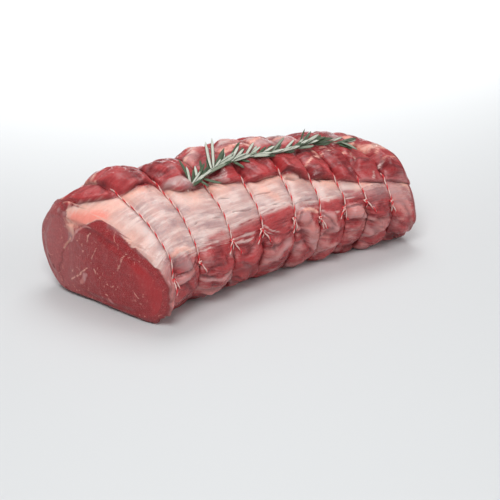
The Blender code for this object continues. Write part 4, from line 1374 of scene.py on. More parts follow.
@dataclass
class TiedMeat:
    """The meat: one closed skin from the middle of the cut face to the middle of the small end."""

    form: JointForm
    columns: tuple[int, ...] = (52, 78, 10, 88, 26, 16)
    ring_step: float = 0.00118
    face_edge: float = 0.0024
    rounding: tuple[Place, ...] = (
        (0.0, 0.0024), (0.9, 0.002), (1.06, 0.0022), (1.3, 0.0036), (1.6, 0.0044), (1.95, 0.0044),
        (2.3, 0.0044), (2.7, 0.005), (3.6, 0.005), (4.0, 0.0028), (5.0, 0.0024),
    )
    rim_steps: int = 6
    cut_reach: tuple[Place, ...] = (
        (0.0, 0.002), (0.15, 0.0026), (0.35, 0.003), (0.55, 0.0032), (1.1, 0.0032), (1.3, 0.0034),
        (1.4, 0.003), (1.5, 0.0028), (1.56, 0.0032), (1.65, 0.0046), (1.75, 0.005), (1.8, 0.0036),
        (1.84, 0.0004), (1.9, -0.0012), (2.05, -0.0012), (2.12, 0.003), (2.3, 0.006), (2.6, 0.0095),
        (4.8, 0.0095), (4.96, 0.003), (5.0, 0.002),
    )
    face_rings: int = 58
    end_round: float = 0.007
    end_round_top: float = 0.0045
    end_rings: int = 12
    end_dome: float = 0.004
    end_dome_half: Place = (0.05, 0.035)
    face_shapes: tuple[tuple[float, float, float, float, float], ...] = (
        (-0.014, 0.038, 0.054, 0.044, 0.0055),
        (0.053, 0.044, 0.019, 0.042, 0.005),
        (0.02, 0.086, 0.02, 0.016, -0.004),
    )
    end_edge_steps: int = 5
    warp: float = 0.0022
    warp_size: float = 0.011
    face_lie: float = 9.0
    end_lie: float = 4.0

    def column_turns(self, along: float) -> Array:
        """List the turn numbers of the columns.

        Args:
            along: the place along the joint.

        Returns:
            One turn number a column, closer together about the seam.
        """
        seam = float(self.form.seam_turn(np.array(along)))
        width = self.form.seam_width
        edges = (0.0, 1.0, seam - width / 3.0, seam + width, 3.0, 4.0, 5.0)
        turns: list[float] = []
        for low, high, count in zip(edges[:-1], edges[1:], self.columns):
            turns.extend(low + (high - low) * step / count for step in range(count))
        return np.array(turns)

    def ring_places(self) -> list[float]:
        """List where rings stand.

        Returns:
            Places along the joint, closer together beside each loop of twine.
        """
        edges = (self.form.first + self.face_edge, *self.form.loops, self.form.last - self.end_round)
        places: list[float] = []
        for low, high in zip(edges[:-1], edges[1:]):
            count = max(4, round((high - low) / self.ring_step))
            for step in range(count):
                s = step / count
                eased = 0.5 * s + 0.25 * (1.0 - math.cos(math.pi * s))
                places.append(low + (high - low) * eased)
        places.append(edges[-1])
        return places

    def edge_inset(self, turns: Array) -> Array:
        """Give how wide the cut edge is rounded, which is wider over the top and down the back."""
        return np.interp(turns, *zip(*self.rounding))

    def lay_rings(self) -> tuple[Array, Array, Array]:
        """Lay the skin's rings, from the one after the face's rim.

        Returns:
            The place along the joint, the turn number and the inset of every point.
        """
        along, turn, inset = [], [], []
        rim_turns = self.column_turns(self.form.first)
        edge = self.edge_inset(rim_turns)
        for step in range(1, self.rim_steps + 1):
            angle = math.pi / 2.0 * step / self.rim_steps
            along.append(self.form.first + edge * (1.0 - math.cos(angle)))
            turn.append(rim_turns)
            inset.append(edge * (1.0 - math.sin(angle)))
        for place in self.ring_places():
            if place > self.form.first + edge.max() + 0.0004:
                turns = self.column_turns(place)
                along.append(np.full(len(turns), place))
                turn.append(turns)
                inset.append(np.zeros(len(turns)))
        return np.concatenate(along), np.concatenate(turn), np.concatenate(inset)

    def strokes_on(
        self, strokes: Sequence[Stroke], points: Array, read: Callable[[Stroke], Array],
    ) -> tuple[dict[str, Array], Array]:
        """Paint strokes on points.

        Args:
            strokes: the strokes.
            points: rows of coordinates, warped so that the patches come out uneven.
            read: gives a stroke's line in the same coordinates.

        Returns:
            One field a tissue, 0.5 at a patch's edge, and the lift in metres.
        """
        fields = {tissue.value: np.zeros(len(points)) for tissue in Tissue}
        lift = np.zeros(len(points))
        for stroke in strokes:
            line = read(stroke)
            half = stroke.half * 0.001
            reach = 3.0 * half
            low, high = line.min(axis=0) - reach, line.max(axis=0) + reach
            near = np.where(((points > low) & (points < high)).all(axis=1))[0]
            if len(near) == 0:
                continue
            away = distance_to_line(points[near], line) / half
            level = np.clip(1.0 - away / 2.0, 0.0, 1.0) * (0.5 + 0.5 * stroke.amount)
            kind = stroke.tissue.value
            fields[kind][near] = np.maximum(fields[kind][near], level)
            lift[near] += stroke.lift * 0.001 * ramp(1.5, 0.4, away)
        return fields, lift

    def warped(self, points: Array) -> Array:
        """Shift points by smooth noise, so that what is measured from them wavers.

        Args:
            points: rows of coordinates.

        Returns:
            The shifted rows.
        """
        axes = range(points.shape[1])
        shift = np.stack([smooth_noise(points, self.warp_size, 5.0 * axis) for axis in axes], axis=-1)
        return points + shift * self.warp

    def face_relief(self, y: Array, z: Array) -> Array:
        """Give how far the cut muscles bulge from the plane of the face.

        Args:
            y: places across the joint.
            z: heights.

        Returns:
            Metres, below 0 in the hollow by the fat.
        """
        out = np.zeros(len(y))
        for mid_y, mid_z, half_y, half_z, tall in self.face_shapes:
            inside = 1.0 - ((y - mid_y) / half_y) ** 2 - ((z - mid_z) / half_z) ** 2
            out += tall * np.maximum(inside, 0.0)
        return out

    @staticmethod
    def face_film(y: Array, z: Array) -> Array:
        """Give how pale the cut muscle is, which grows towards the back."""
        return ramp(-0.01, 0.05, y) * ramp(0.095, 0.07, z)

    def make(self, finish: Material) -> Item:
        """Build the mesh and its fields.

        Args:
            finish: the meat's material.

        Returns:
            The object.
        """
        form = self.form
        count = sum(self.columns)
        along, turn, inset = self.lay_rings()
        bare = form.skin(along + form.fanned(along, turn), turn)
        arch, lobe = form.between_loops(along)

        def line_on_skin(stroke: Stroke) -> Array:
            """Place a stroke's line on the skin."""
            return form.skin(*np.array(stroke.places, float).T)

        strokes = read_strokes(SKIN_STROKES, (0.001, 1.0))
        fields, lift = self.strokes_on(strokes, self.warped(bare), line_on_skin)
        body = form.skin(along, turn, inset, extra=lift * arch, fine=True)
        wrapped = np.mod(turn, 5.0)
        seam = form.seam_turn(along)
        folds = form.fold_lines(along, turn, lobe) * (1.0 - form.silver_cover(along, turn)) * arch
        close, _, open_arch = form.closing(along, turn)
        groove = (1.0 - ramp(0.0, 0.55, open_arch)) * (0.08 + 0.92 * close)
        under = np.exp(-(((wrapped - seam + 0.004) / 0.016) ** 2))
        numbers = dict(fields)
        reach = np.interp(wrapped, *zip(*self.cut_reach)) + 0.0007 * smooth_noise(bare, 0.004, 6.0)
        numbers["cut"] = ramp(reach + 0.0009, reach - 0.0005, along - form.first)
        # Painted shade on the rounded cut edge over the top of the eye.
        above = numbers["cut"] * ramp(1.12, 1.28, wrapped) * ramp(1.82, 1.7, wrapped)
        numbers["dark"] = np.maximum(numbers["dark"], above * 0.3 * ramp(0.0, 0.003, along - form.first))
        numbers["cover"] = np.minimum(form.silver_cover(along, turn), 1.0 - numbers["cut"])
        numbers["cover"] = numbers["cover"] * (1.0 - 0.55 * ramp(0.06, 0.105, along))
        lower = ramp(1.24, 1.05, wrapped) * ramp(-0.146, -0.14, along) + 0.5 * ramp(2.6, 2.9, wrapped)
        film = lower * (0.33 + 0.5 * smooth_noise(bare, 0.015, 4.0))
        numbers["pink"] = np.maximum(numbers["pink"], np.clip(film, 0.0, 0.56))
        for kind in ("fat", "salmon", "pink"):
            numbers[kind] = numbers[kind] * (1.0 - numbers["cut"])
        far = ramp(0.02, 0.07, along) * ramp(seam, seam + 0.05, wrapped) * ramp(3.2, 2.6, wrapped)
        numbers["dark"] = np.maximum(numbers["dark"], 0.42 * far)
        warm = ramp(0.2, 0.0, seam - wrapped) * (0.6 + 0.8 * form.lumps(along, turn, lobe, 0.018))
        warm = np.maximum(warm, 0.75 * ramp(-0.146, -0.163, along) * ramp(1.15, 1.6, wrapped))
        warm = np.clip(warm, 0.0, 1.0) * ramp(seam + 0.04, seam, wrapped)
        numbers["warm"] = warm + (self.face_film(body[:, 1], body[:, 2]) - warm) * numbers["cut"]
        # Painted shade: darker in the grooves beside the twine, under the overhang at the seam, along the fold
        # lines and towards the foot, where it also stands for dark juice.
        foot = ramp(0.4, 0.05, wrapped) + ramp(3.8, 4.0, wrapped)
        dark = 0.65 * groove + 0.8 * under * (0.4 + 0.6 * arch) + 0.5 * folds**2 + 0.45 * foot
        numbers["painted_shade"] = np.clip(dark, 0.0, 1.0)
        lie = np.stack((along, form.arc_of(turn), lobe * 0.31), axis=-1)
        on_face = np.stack((body[:, 2], body[:, 1], np.full(len(body), self.face_lie)), axis=-1)
        lie = np.where(numbers["cut"][:, None] > 0.93, on_face, lie)
        face_points, face_numbers, face_lie = self.make_face(count)
        end_points, end_numbers, end_lie = self.make_end(count)
        points = np.concatenate((face_points, body, end_points))
        lie = np.concatenate((face_lie, lie, end_lie))
        parts = (face_numbers, numbers, end_numbers)
        numbers = {key: np.concatenate([part[key] for part in parts]) for key in numbers}
        rings = self.face_rings + len(along) // count + self.end_rings
        faces: list[Sequence[int]] = [(0, 1 + i, 1 + (i + 1) % count) for i in range(count)]
        faces += [face[::-1] for face in grid_faces(rings, count, 1)]
        last = 1 + rings * count
        faces += [(last, last - count + (i + 1) % count, last - count + i) for i in range(count)]
        return make_piece("beef_meat", form.to_frame(points), faces, finish, numbers, lie)

    def make_face(self, count: int) -> Part:
        """Make the cut face, from its middle point out to its rim.

        Args:
            count: points in a ring.

        Returns:
            Points, fields and pattern coordinates.
        """
        form = self.form
        turns = self.column_turns(form.first)
        rim = form.skin(form.first, turns, self.edge_inset(turns), fine=True)
        middle = rim.mean(axis=0)
        shares = np.linspace(0.0, 1.0, self.face_rings + 1)[1:]
        rows = [middle[None, :]] + [middle + (rim - middle) * share for share in shares]
        points = np.concatenate(rows)
        share = np.concatenate([[0.0]] + [np.full(count, s) for s in shares])
        flat = points[:, 1:3]

        def line_on_face(stroke: Stroke) -> Array:
            """Read a stroke's line in the face's own y and z."""
            return np.array(stroke.places, float)

        warped = self.warped(np.pad(flat, ((0, 0), (0, 1))))[:, :2]
        fields, lift = self.strokes_on(read_strokes(FACE_STROKES, (0.001, 0.001)), warped, line_on_face)
        edge_fade = 1.0 - ramp(0.93, 1.0, share)
        lumpy = smooth_noise(points, 0.012, 3.0) * 0.0005 + smooth_noise(points, 0.005, 8.0) * 0.0002
        relief = self.face_relief(flat[:, 0], flat[:, 1]) * ramp(1.0, 0.8, share)
        points[:, 0] -= relief + (lumpy + lift) * edge_fade
        return self.as_cut(points, fields, self.face_film(flat[:, 0], flat[:, 1]), self.face_lie)

    @staticmethod
    def as_cut(
        points: Array, fields: dict[str, Array], warm: Array, sheet: float,
    ) -> Part:
        """Complete the fields of cut meat.

        Args:
            points: rows of x, y, z.
            fields: the tissues' fields.
            warm: how pale the cut muscle is.
            sheet: sets the patterns of one cut apart from those of another.

        Returns:
            Points, fields and pattern coordinates.
        """
        count = len(points)
        none = np.zeros(count)
        numbers = {**fields, "cover": none, "painted_shade": none, "warm": warm, "cut": np.ones(count)}
        return points, numbers, np.stack((points[:, 2], points[:, 1], np.full(count, sheet)), axis=-1)

    def make_end(self, count: int) -> Part:
        """Make the rounded small end, cut like the face, from the skin's last ring to its middle point.

        Args:
            count: points in a ring.

        Returns:
            Points, fields and pattern coordinates.
        """
        form = self.form
        steps = self.end_edge_steps
        rows = []
        for step in range(1, steps + 1):
            angle = math.pi / 2.0 * step / steps
            place = form.last - self.end_round * (1.0 - math.sin(angle))
            turns = self.column_turns(place)
            high = ramp(1.3, 1.42, turns) * ramp(2.9, 2.4, turns)
            draw_in = self.end_round + (self.end_round_top - self.end_round) * high
            rows.append(form.skin(place, turns, draw_in * (1.0 - math.cos(angle)), fine=True))
        rim = rows[-1]
        middle = rim.mean(axis=0)
        inner = self.end_rings - steps
        for step in range(1, inner + 1):
            rows.append(middle + (rim - middle) * (1.0 - step / (inner + 1)))
        rows.append(middle[None, :])
        points = np.concatenate(rows)
        across = (points[:, 1] - middle[1]) / self.end_dome_half[0]
        upright = (points[:, 2] - middle[2]) / self.end_dome_half[1]
        cap = np.arange(len(points)) >= steps * count
        points[:, 0] += np.where(cap, self.end_dome * np.maximum(1.0 - across**2 - upright**2, 0.0), 0.0)
        fields = {tissue.value: np.zeros(len(points)) for tissue in Tissue}
        warm = np.clip(0.55 + 0.45 * smooth_noise(points, 0.02, 2.0), 0.0, 1.0)
        return self.as_cut(points, fields, warm, self.end_lie)


def sweep(
    path: Array, radii: Array, sides: int, closed: bool, plies: int = 0, twist: float = 0.0,
) -> tuple[Array, list[Sequence[int]], Array, Array]:
    """Sweep a round or plied section along a path.

    Args:
        path: rows of x, y, z.
        radii: the radius at each point of the path.
        sides: points round the section.
        closed: whether the path closes on itself.
        plies: how many plies bulge from the section; 0 leaves it round.
        twist: turns of the plies along a metre.

    Returns:
        Points, faces, the turn of each point about the path relative to the plies, and pattern
        coordinates.
    """
    after = np.roll(path, -1, axis=0) if closed else np.vstack((path[1:], 2 * path[-1] - path[-2]))
    before = np.roll(path, 1, axis=0) if closed else np.vstack((2 * path[0] - path[1], path[:-1]))
    tangent = after - before
    tangent /= np.linalg.norm(tangent, axis=1)[:, None] + 1e-12
    length = np.concatenate(([0.0], np.cumsum(np.linalg.norm(np.diff(path, axis=0), axis=1))))
    side = np.zeros_like(path)
    guess = np.cross(tangent[0], (0.3, 0.5, 0.81))
    for i, heading in enumerate(tangent):
        guess = guess - heading * (guess @ heading)
        guess = guess / (np.linalg.norm(guess) + 1e-12)
        side[i] = guess
    up = np.cross(tangent, side)
    angle = np.linspace(0.0, 2.0 * math.pi, sides, endpoint=False)
    phase = angle[None, :] - 2.0 * math.pi * twist * length[:, None]
    bulge = 1.0 + (0.13 * np.abs(np.cos(phase * plies / 2.0)) - 0.08 if plies else 0.0)
    wide = (radii[:, None] * bulge)[..., None]
    spokes = side[:, None] * np.cos(angle)[None, :, None] + up[:, None] * np.sin(angle)[None, :, None]
    points = (path[:, None] + spokes * wide).reshape(-1, 3)
    around = np.tile(angle, len(path)) * float(radii.mean()) + 0.5
    lie = np.stack((np.repeat(length, sides), around, np.zeros(len(points))), axis=-1)
    faces: list[Sequence[int]] = list(grid_faces(len(path), sides))
    if closed:
        low = (len(path) - 1) * sides
        faces += [(low + i, low + (i + 1) % sides, (i + 1) % sides, i) for i in range(sides)]
    else:
        faces.append(tuple(range(sides))[::-1])
        faces.append(tuple(range((len(path) - 1) * sides, len(path) * sides)))
    return points, faces, phase.ravel(), lie


def resample(points: Array, step: float, closed: bool) -> Array:
    """Lay points at equal steps along a smooth curve through the given ones.

    Args:
        points: rows of x, y, z.
        step: the distance between two new points.
        closed: whether the curve closes on itself.

    Returns:
        The new points.
    """
    line = np.vstack((points, points[:1])) if closed else points
    gaps = np.linalg.norm(np.diff(line, axis=0), axis=1)
    length = np.concatenate(([0.0], np.cumsum(gaps)))
    count = max(3, round(length[-1] / step))
    at = np.linspace(0.0, length[-1], count + 1)
    if closed:
        at = at[:-1]
    return np.stack([np.interp(at, length, line[:, axis]) for axis in range(3)], axis=-1)


@dataclass
class Twine:
    """The nine loops of butcher's twine, each with its knot and tails."""

    form: JointForm
    radius: float = 0.00064
    gap: float = 0.0004
    sink: float = 0.0026
    sink_turns: tuple[float, float] = (2.15, 2.45)
    sides: int = 10
    step: float = 0.0011
    period: float = 0.012
    knot_turns: tuple[float, ...] = (0.98, 1.02, 1.16, 1.15, 1.12, 1.06, 1.13, 1.16, 1.08)
    knot_radius: float = 0.0017
    tail_length: float = 0.0105
    tail_lift: float = 0.0018
    tail_angles: tuple[tuple[float, ...], ...] = (
        (-70, 38), (35,), (-62, 48), (-60, 44), (12, -35), (14, 30), (-72, 10), (38,), (-4, 22),
    )
    front_arc: float = 0.06

    def loop_path(self, number: int) -> Array:
        """Lay one loop round the meat.

        Args:
            number: the loop's number, from 0.

        Returns:
            Rows of x, y, z in the joint's own frame.
        """
        turns = np.linspace(0.0, 5.0, 620, endpoint=False)
        place = self.form.loops[number]
        seam = float(self.form.seam_turn(np.array(place)))
        knot = self.knot_turns[number]
        hidden = ramp(seam + 0.05, seam + 0.14, turns) * ramp(self.sink_turns[1], self.sink_turns[0], turns)
        hidden = hidden + ramp(knot - 0.05, knot - 0.14, turns)
        ring = self.form.skin(place, turns, self.sink * hidden - self.gap - self.radius * 0.6)
        ring[:, 2] = np.maximum(ring[:, 2], self.radius)
        wobble = 0.0005 * np.sin(turns * 7.0 + number * 2.0) + 0.0003 * np.sin(turns * 17.0 + number)
        ring[:, 0] += wobble * ramp(1.0, 1.2, turns) + self.form.fanned(np.full(len(turns), place), turns)
        return resample(ring, self.step, True)

    def knot_path(self, number: int) -> Array:
        """Wind the small overhand knot of one loop.

        Args:
            number: the loop's number.

        Returns:
            Rows of x, y, z in the joint's own frame.
        """
        place, turn = self.form.loops[number], self.knot_turns[number]
        at = self.form.skin(place, turn, -(self.gap + self.knot_radius))[0]
        above = self.form.skin(place, turn, -(self.gap + self.knot_radius + 0.002))[0]
        out = (above - at) / np.linalg.norm(above - at)
        east = np.cross((0.0, 0.0, 1.0), out)
        east /= np.linalg.norm(east)
        north = np.cross(out, east)
        t = np.linspace(0.0, 2.0 * math.pi, 46, endpoint=False) + number
        x = np.sin(t) + 2.0 * np.sin(2.0 * t)
        y = np.cos(t) - 2.0 * np.cos(2.0 * t)
        z = -np.sin(3.0 * t)
        flat = self.knot_radius / 3.0
        return at + (east * x[:, None] + north * y[:, None] * 1.1) * flat + out * z[:, None] * self.radius

    def tail_path(self, number: int, degrees: float) -> Array:
        """Lay one cut tail on the lobes below its knot.

        Args:
            number: the loop's number.
            degrees: how far it leans from straight down towards the small end.

        Returns:
            Rows of x, y, z in the joint's own frame.
        """
        along, turn = self.form.loops[number], self.knot_turns[number]
        start = self.form.skin(along, turn, -(self.gap + self.knot_radius))[0]
        points = [start]
        steps = 5
        for step in range(1, steps + 1):
            reach = self.tail_length / steps
            bend = degrees * (1.0 - 0.35 * step / steps) + 12.0 * math.sin(step * 1.7 + number)
            along = along + reach * math.sin(math.radians(bend))
            turn = turn - reach * math.cos(math.radians(bend)) / self.front_arc
            points.append(self.form.skin(along, turn, -(self.gap + self.radius + self.tail_lift))[0])
        return resample(np.array(points), self.step, False)

    def make(self, finish: Material) -> list[Item]:
        """Build the nine loops.

        Args:
            finish: the twine's material.

        Returns:
            One object a loop.
        """
        made = []
        for number in range(len(self.form.loops)):
            runs = [(self.loop_path(number), True), (self.knot_path(number), True)]
            runs += [(self.tail_path(number, degrees), False) for degrees in self.tail_angles[number]]
            points, faces, yarn, lie = [], [], [], []
            total = 0
            for path, closed in runs:
                radii = np.full(len(path), self.radius)
                tube = sweep(path, radii, self.sides, closed, 2, 1.0 / self.period)
                new_points, new_faces, phase, new_lie = tube
                faces += [tuple(corner + total for corner in face) for face in new_faces]
                total += len(new_points)
                points.append(new_points)
                yarn.append(np.cos(phase) * 0.5 + 0.42)
                lie.append(new_lie)
            item = make_piece(
                f"twine_{number + 1}", self.form.to_frame(np.concatenate(points)), faces, finish,
                {"yarn": np.concatenate(yarn)}, np.concatenate(lie),
            )
            made.append(item)
        return made


@dataclass(frozen=True)
class Leaf:
    """One leaf: its place on the stem from 0 to 1, and its tip's offset from there, in mm."""

    place: float
    ahead: float
    front: float
    up: float
    width: float
    pale: bool


LEAVES: tuple[Leaf, ...] = tuple(Leaf(*row) for row in (
    # The fan at the cut end.
    (0.11, 12, -27, 6, 2.6, False), (0.09, 14, -17, 3, 2.8, True), (0.12, 9, -8, 7, 2.0, False),
    (0.15, 21, -8, 5, 2.4, False), (0.2, 9, -13, 7, 2.2, False), (0.25, 18, -26, 9, 2.6, True),
    (0.26, 22, -24, 11, 2.4, True), (0.26, 27, -12, 6, 3.0, False), (0.28, 21, -11, 4, 2.8, False),
    (0.1, 35, 1, 2, 2.8, True), (0.21, 24, 5, 3, 2.6, True), (0.22, 36, -1, 4, 2.8, True),
    (0.25, 31, 1, 3, 2.8, True), (0.19, 8, 17, 0, 2.6, False), (0.17, 0, 12, 0, 2.2, False),
    # The middle.
    (0.34, 27, -12, 7, 2.6, False), (0.36, 16, -8, 6, 2.4, True), (0.38, 15, -5, 4, 2.4, True),
    (0.31, 19, 2, 2, 2.6, True), (0.35, 22, 6, 2, 2.8, True), (0.39, 24, 5, 1, 2.8, True),
    (0.44, 15, -10, 6, 2.4, True), (0.37, 3, 14, 0, 2.4, False), (0.41, 7, 8, 0, 2.4, False),
    (0.45, 20, 9, 2, 2.8, True), (0.48, 18, 7, 3, 2.6, True), (0.51, 12, -4, 5, 2.0, False),
    (0.52, 16, 5, 0, 2.2, False), (0.56, 20, 2, 3, 2.8, True), (0.6, 20, -10, 7, 2.2, True),
    (0.59, 15, -7, 5, 2.4, False), (0.61, 24, 2, 2, 2.8, True), (0.65, 21, 5, 2, 2.8, True),
    # The tip.
    (0.67, 11, 5, 0, 2.4, False), (0.71, 14, 0, 4, 2.4, False), (0.74, 16, 1, 4, 2.4, True),
    (0.76, 18, -10, 10, 1.4, False), (0.77, 20, -5, 8, 2.2, False), (0.74, 16, 9, 1, 2.6, True),
    (0.77, 24, 2, 5, 3.0, True), (0.79, 17, 6, 2, 2.6, True), (0.82, 19, 8, 5, 2.6, False),
    (0.84, 22, 10, 3, 3.0, False), (0.85, 15, 11, 0, 2.4, False), (0.88, 16, 6, 2, 2.6, False),
    (0.97, 11, 0, 3, 2.4, False), (0.98, 18, -3, 4, 2.6, False), (0.99, 15, -1, 2, 2.4, True),
    (0.99, 10, 11, 0, 2.4, False), (0.99, 14, 16, 1, 2.2, True), (0.98, 8, 9, 1, 2.4, False),
    # The side that is turned away.
    (0.16, 13, -14, 0, 2.6, True), (0.23, 15, -15, 1, 2.6, False), (0.32, 14, -14, 0, 2.6, True),
    (0.4, 15, -13, 1, 2.6, False), (0.47, 14, -12, 0, 2.6, True), (0.55, 15, -12, 1, 2.6, False),
    (0.63, 14, -11, 0, 2.4, True), (0.7, 14, -10, 1, 2.4, False), (0.8, 13, -10, 0, 2.4, True),
    (0.87, 13, -9, 1, 2.4, False), (0.95, 12, -8, 0, 2.2, True),
))


@dataclass
class Sprig:
    """The rosemary sprig: a stem and narrow leaves that open towards its tip."""

    form: JointForm
    route: tuple[Place, ...] = (
        (-0.086, 1.66), (-0.078, 1.68), (-0.053, 1.735), (-0.026, 1.775), (-0.002, 1.775), (0.019, 1.765),
        (0.047, 1.8), (0.072, 1.845), (0.097, 1.8),
    )
    height: float = 0.0106
    base_height: float = 0.006
    stem_radii: Place = (0.0014, 0.0006)
    stem_points: int = 200
    thick: float = 0.0011
    widen: float = 1.3
    face_front: float = 0.45
    pale_rise: float = 0.0013
    bend: float = 0.07
    roll: float = 0.35
    leaf_rows: int = 11
    section: tuple[Place, ...] = (
        (1.0, 0.0), (0.72, 0.75), (0.25, 0.62), (0.0, 0.35), (-0.25, 0.62), (-0.72, 0.75), (-1.0, 0.0),
        (-0.55, -0.8), (0.0, -0.62), (0.55, -0.8),
    )
    overlay_count: int = 22
    tones: tuple[float, ...] = (0.0, 0.0, 0.15, 0.3, 0.75)
    seed: int = 7

    def line(self, count: int) -> tuple[Array, Array]:
        """Read the stem's line.

        Args:
            count: how many points.

        Returns:
            The points, and points 1 mm above them.
        """
        s = np.linspace(0.0, 1.0, count)
        knots = np.linspace(0.0, 1.0, len(self.route))
        along = curve_through(s, knots, [p[0] for p in self.route])
        turn = curve_through(s, knots, [p[1] for p in self.route])
        lift = self.base_height + (self.height - self.base_height) * ramp(0.0, 0.14, s)
        return self.form.skin(along, turn, lift=lift), self.form.skin(along, turn, lift=lift + 0.001)

    def needle(
        self, base: Vector, span: Vector, flat: Vector, leaf: Leaf, bend: float,
    ) -> tuple[Array, list[Sequence[int]], Array, Array]:
        """Make one leaf: a narrow blade with rolled edges, a channel above and a rib below.

        Args:
            base: where it leaves the stem.
            span: from there to its tip.
            flat: across the blade.
            leaf: its width and which side looks up.
            bend: how much it curves, as a share of its length.

        Returns:
            Points, faces, the side field and pattern coordinates.
        """
        length = span.length
        direction = span / length
        out = direction.cross(flat).normalized()
        half = leaf.width * self.widen * 0.0005
        points, side, lie = [], [], []
        for row in range(self.leaf_rows):
            s = row / (self.leaf_rows - 1)
            wide = min(1.0, 0.42 + 2.2 * s) * (1.0 - max(0.0, (s - 0.7) / 0.3) ** 2.0 * 0.93)
            middle = base + span * s + out * (bend * length * 4.0 * s * (1.0 - s))
            for across, upright in self.section:
                lifted = -upright if leaf.pale else upright
                point = middle + flat * (half * wide * across) + out * (self.thick / 2.0 * wide * lifted)
                points.append(tuple(point))
                side.append(0.5 - 0.5 * max(-1.0, min(1.0, upright * 1.9 + 0.55)))
                lie.append((length * s, half * 2.0 * across, 0.0))
        ring = len(self.section)
        faces: list[Sequence[int]] = list(grid_faces(self.leaf_rows, ring))
        faces.append(tuple(range(ring))[::-1])
        faces.append(tuple(range((self.leaf_rows - 1) * ring, self.leaf_rows * ring)))
        if leaf.pale:
            faces = [tuple(face)[::-1] for face in faces]
        return np.array(points), faces, np.array(side), np.array(lie)

    def overlay(self, draw: random.Random) -> list[Leaf]:
        """Lay leaves over the stem, in turns to its two sides, so that they cross.

        Args:
            draw: the source of random numbers.

        Returns:
            The leaves.
        """
        leaves = []
        for number in range(self.overlay_count):
            away = (1.0 if number % 2 else -1.0) * draw.uniform(2.6, 4.6)
            place = 0.05 + 0.76 * (number + draw.uniform(-0.25, 0.25)) / self.overlay_count
            ahead, up, width = (draw.uniform(*reach) for reach in ((12.0, 17.0), (3.0, 5.0), (1.8, 2.3)))
            leaves.append(Leaf(max(place, 0.04), ahead, away, up, width, number % 3 != 1))
        return leaves

    def make(self, leaf_finish: Material, stem_finish: Material) -> list[Item]:
        """Build the leaves and the stem.

        Args:
            leaf_finish: the leaves' material.
            stem_finish: the stem's material.

        Returns:
            The leaves' object and the stem's.
        """
        draw = random.Random(self.seed)
        fine, above = self.line(self.stem_points)
        points, faces, side, tone, lie = [], [], [], [], []
        total = 0
        for leaf in (*LEAVES, *self.overlay(draw)):
            i = min(int(leaf.place * self.stem_points), self.stem_points - 2)
            base = Vector(fine[i])
            up = (Vector(above[i]) - base).normalized()
            ahead = Vector(fine[i + 1]) - base
            ahead = (ahead - up * ahead.dot(up)).normalized()
            front = ahead.cross(up)
            span = (ahead * leaf.ahead + front * leaf.front + up * leaf.up) * 0.001
            tilt = front * (self.face_front + draw.uniform(-self.roll, self.roll))
            base = base + up * (self.pale_rise if leaf.pale else 0.0)
            flat = (up + tilt).cross(span).normalized()
            blade = self.needle(base, span, flat, leaf, draw.uniform(-self.bend, self.bend))
            faces += [tuple(corner + total for corner in face) for face in blade[1]]
            total += len(blade[0])
            points.append(blade[0])
            side.append(blade[2])
            tone.append(np.full(len(blade[0]), draw.choice(self.tones)))
            lie.append(blade[3] + (0.0, 0.0, 0.05 * len(points)))
        leaves = make_piece(
            "rosemary_leaves", self.form.to_frame(np.concatenate(points)), faces, leaf_finish,
            {"side": np.concatenate(side), "tone": np.concatenate(tone)}, np.concatenate(lie),
        )
        path, _ = self.line(120)
        radii = np.linspace(self.stem_radii[0], self.stem_radii[1], len(path))
        radii = radii * (1.0 + 0.18 * np.sin(np.arange(len(path)) * 1.3) ** 4)
        radii = radii + 0.0012 * ramp(2.6, 1.0, np.arange(len(path)))
        stem_points, stem_faces, _, stem_lie = sweep(path, radii, 10, False)
        cut = ramp(0.004, 0.0, stem_lie[:, 0])
        branch = make_piece(
            "rosemary_stem", self.form.to_frame(stem_points), stem_faces, stem_finish,
            {"yarn": cut}, stem_lie,
        )
        return [leaves, branch]


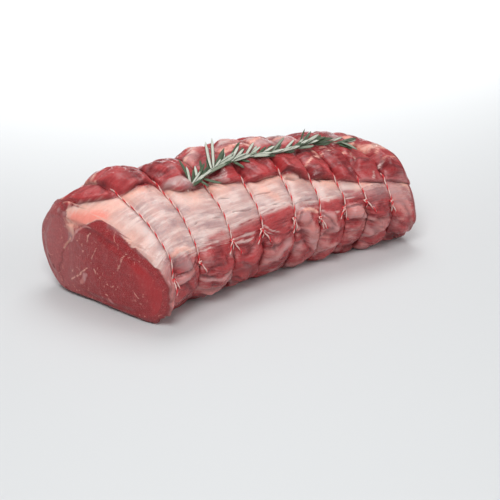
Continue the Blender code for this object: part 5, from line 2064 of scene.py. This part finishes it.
@dataclass
class Studio:
    """The floor, the lights and the camera."""

    floor_size: float = 8.0
    floor_colour: Colour = (0.665, 0.68, 0.69)
    camera_place: tuple[float, float, float] = (-0.6616, -1.0051, 0.6966)
    heading: float = 34.03
    pitch: float = 29.68
    lens: float = 104.76
    surroundings: float = 0.32

    def make_floor(self) -> Item:
        """Lay the pale floor.

        Returns:
            The floor's object.
        """
        half = self.floor_size / 2.0
        corners = [(-half, -half, 0.0), (half, -half, 0.0), (half, half, 0.0), (-half, half, 0.0)]
        mesh = bpy.data.meshes.new("floor")
        mesh.from_pydata(corners, [], [(0, 1, 2, 3)])
        finish, _, shader = new_material("floor")
        shader.inputs["Base Color"].default_value = (*self.floor_colour, 1.0)
        shader.inputs["Roughness"].default_value = 0.7
        mesh.materials.append(finish)
        floor = bpy.data.objects.new("floor", mesh)
        bpy.context.scene.collection.objects.link(floor)
        return floor

    @staticmethod
    def make_light(
        name: str, place: tuple[float, float, float], size: float, power: float,
        aim: tuple[float, float, float] = (0.0, 0.0, 0.04), spread: float = 180.0,
    ) -> None:
        """Hang a square soft light.

        Args:
            name: its name.
            place: where it hangs.
            size: its side in metres.
            power: watts.
            aim: where it points.
            spread: how widely it shines, in degrees.
        """
        lamp = bpy.data.lights.new(name, "AREA")
        lamp.size = size
        lamp.energy = power
        lamp.spread = math.radians(spread)
        item = bpy.data.objects.new(name, lamp)
        item.location = place
        item.rotation_euler = (Vector(aim) - Vector(place)).to_track_quat("-Z", "Y").to_euler()
        bpy.context.scene.collection.objects.link(item)

    def make_world(self) -> None:
        """Fill the surroundings with even pale light."""
        world = bpy.data.worlds.new("studio")
        world.use_nodes = True
        background = world.node_tree.nodes["Background"]
        background.inputs["Color"].default_value = (1.0, 1.0, 1.0, 1.0)
        background.inputs["Strength"].default_value = self.surroundings
        bpy.context.scene.world = world

    def make_camera(self) -> None:
        """Set up the camera at the photographed angle."""
        lens = bpy.data.cameras.new("camera")
        lens.sensor_width = 36.0
        lens.lens = self.lens
        lens.clip_end = 50.0
        camera = bpy.data.objects.new("camera", lens)
        camera.location = self.camera_place
        camera.rotation_euler = (math.radians(90.0 - self.pitch), 0.0, math.radians(-self.heading))
        bpy.context.scene.collection.objects.link(camera)
        bpy.context.scene.camera = camera

    def make(self) -> None:
        """Build the whole studio."""
        self.make_floor()
        self.make_world()
        self.make_light("key_light", (-0.6, -0.6, 1.3), 0.6, 12.0)
        self.make_light("top_light", (0.3, 0.45, 1.3), 0.9, 8.4)
        self.make_light("back_light", (0.75, 1.25, 1.6), 1.2, 28.0, (0.75, 1.25, 0.0), 60.0)
        self.make_light("fill_light", (0.9, -1.1, 0.8), 1.0, 4.2)
        self.make_camera()
        bpy.context.scene.view_settings.view_transform = "Standard"


def put_in_place(piece: Item, slot: str, *nodes: str) -> None:
    """Let a piece stand for solids of the model.

    Args:
        piece: the piece.
        slot: the record's material slot; not used.
        nodes: the solids that it stands for.
    """
    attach(piece, "root")
    if nodes:
        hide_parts(*nodes)
    LOG.info("%s: %d faces", piece.name, len(piece.data.polygons))


def main() -> None:
    """Build every piece in order."""
    logging.basicConfig(level=logging.INFO, format="%(name)s: %(message)s")
    effects = Effects()
    form = JointForm()
    meat = TiedMeat(form).make(RawMeatFinish().make(effects))
    put_in_place(meat, "meat", "beef")
    for number, loop in enumerate(Twine(form).make(TwineFinish().make(effects))):
        put_in_place(loop, "twine", f"string_{number + 1}")
    leaves, stem = Sprig(form).make(NeedleFinish().make(effects), StemFinish().make(effects))
    put_in_place(leaves, "leaves", "rosemary")
    put_in_place(stem, "leaves", "rosemary")
    Studio().make()


if __name__ == "__main__":
    main()
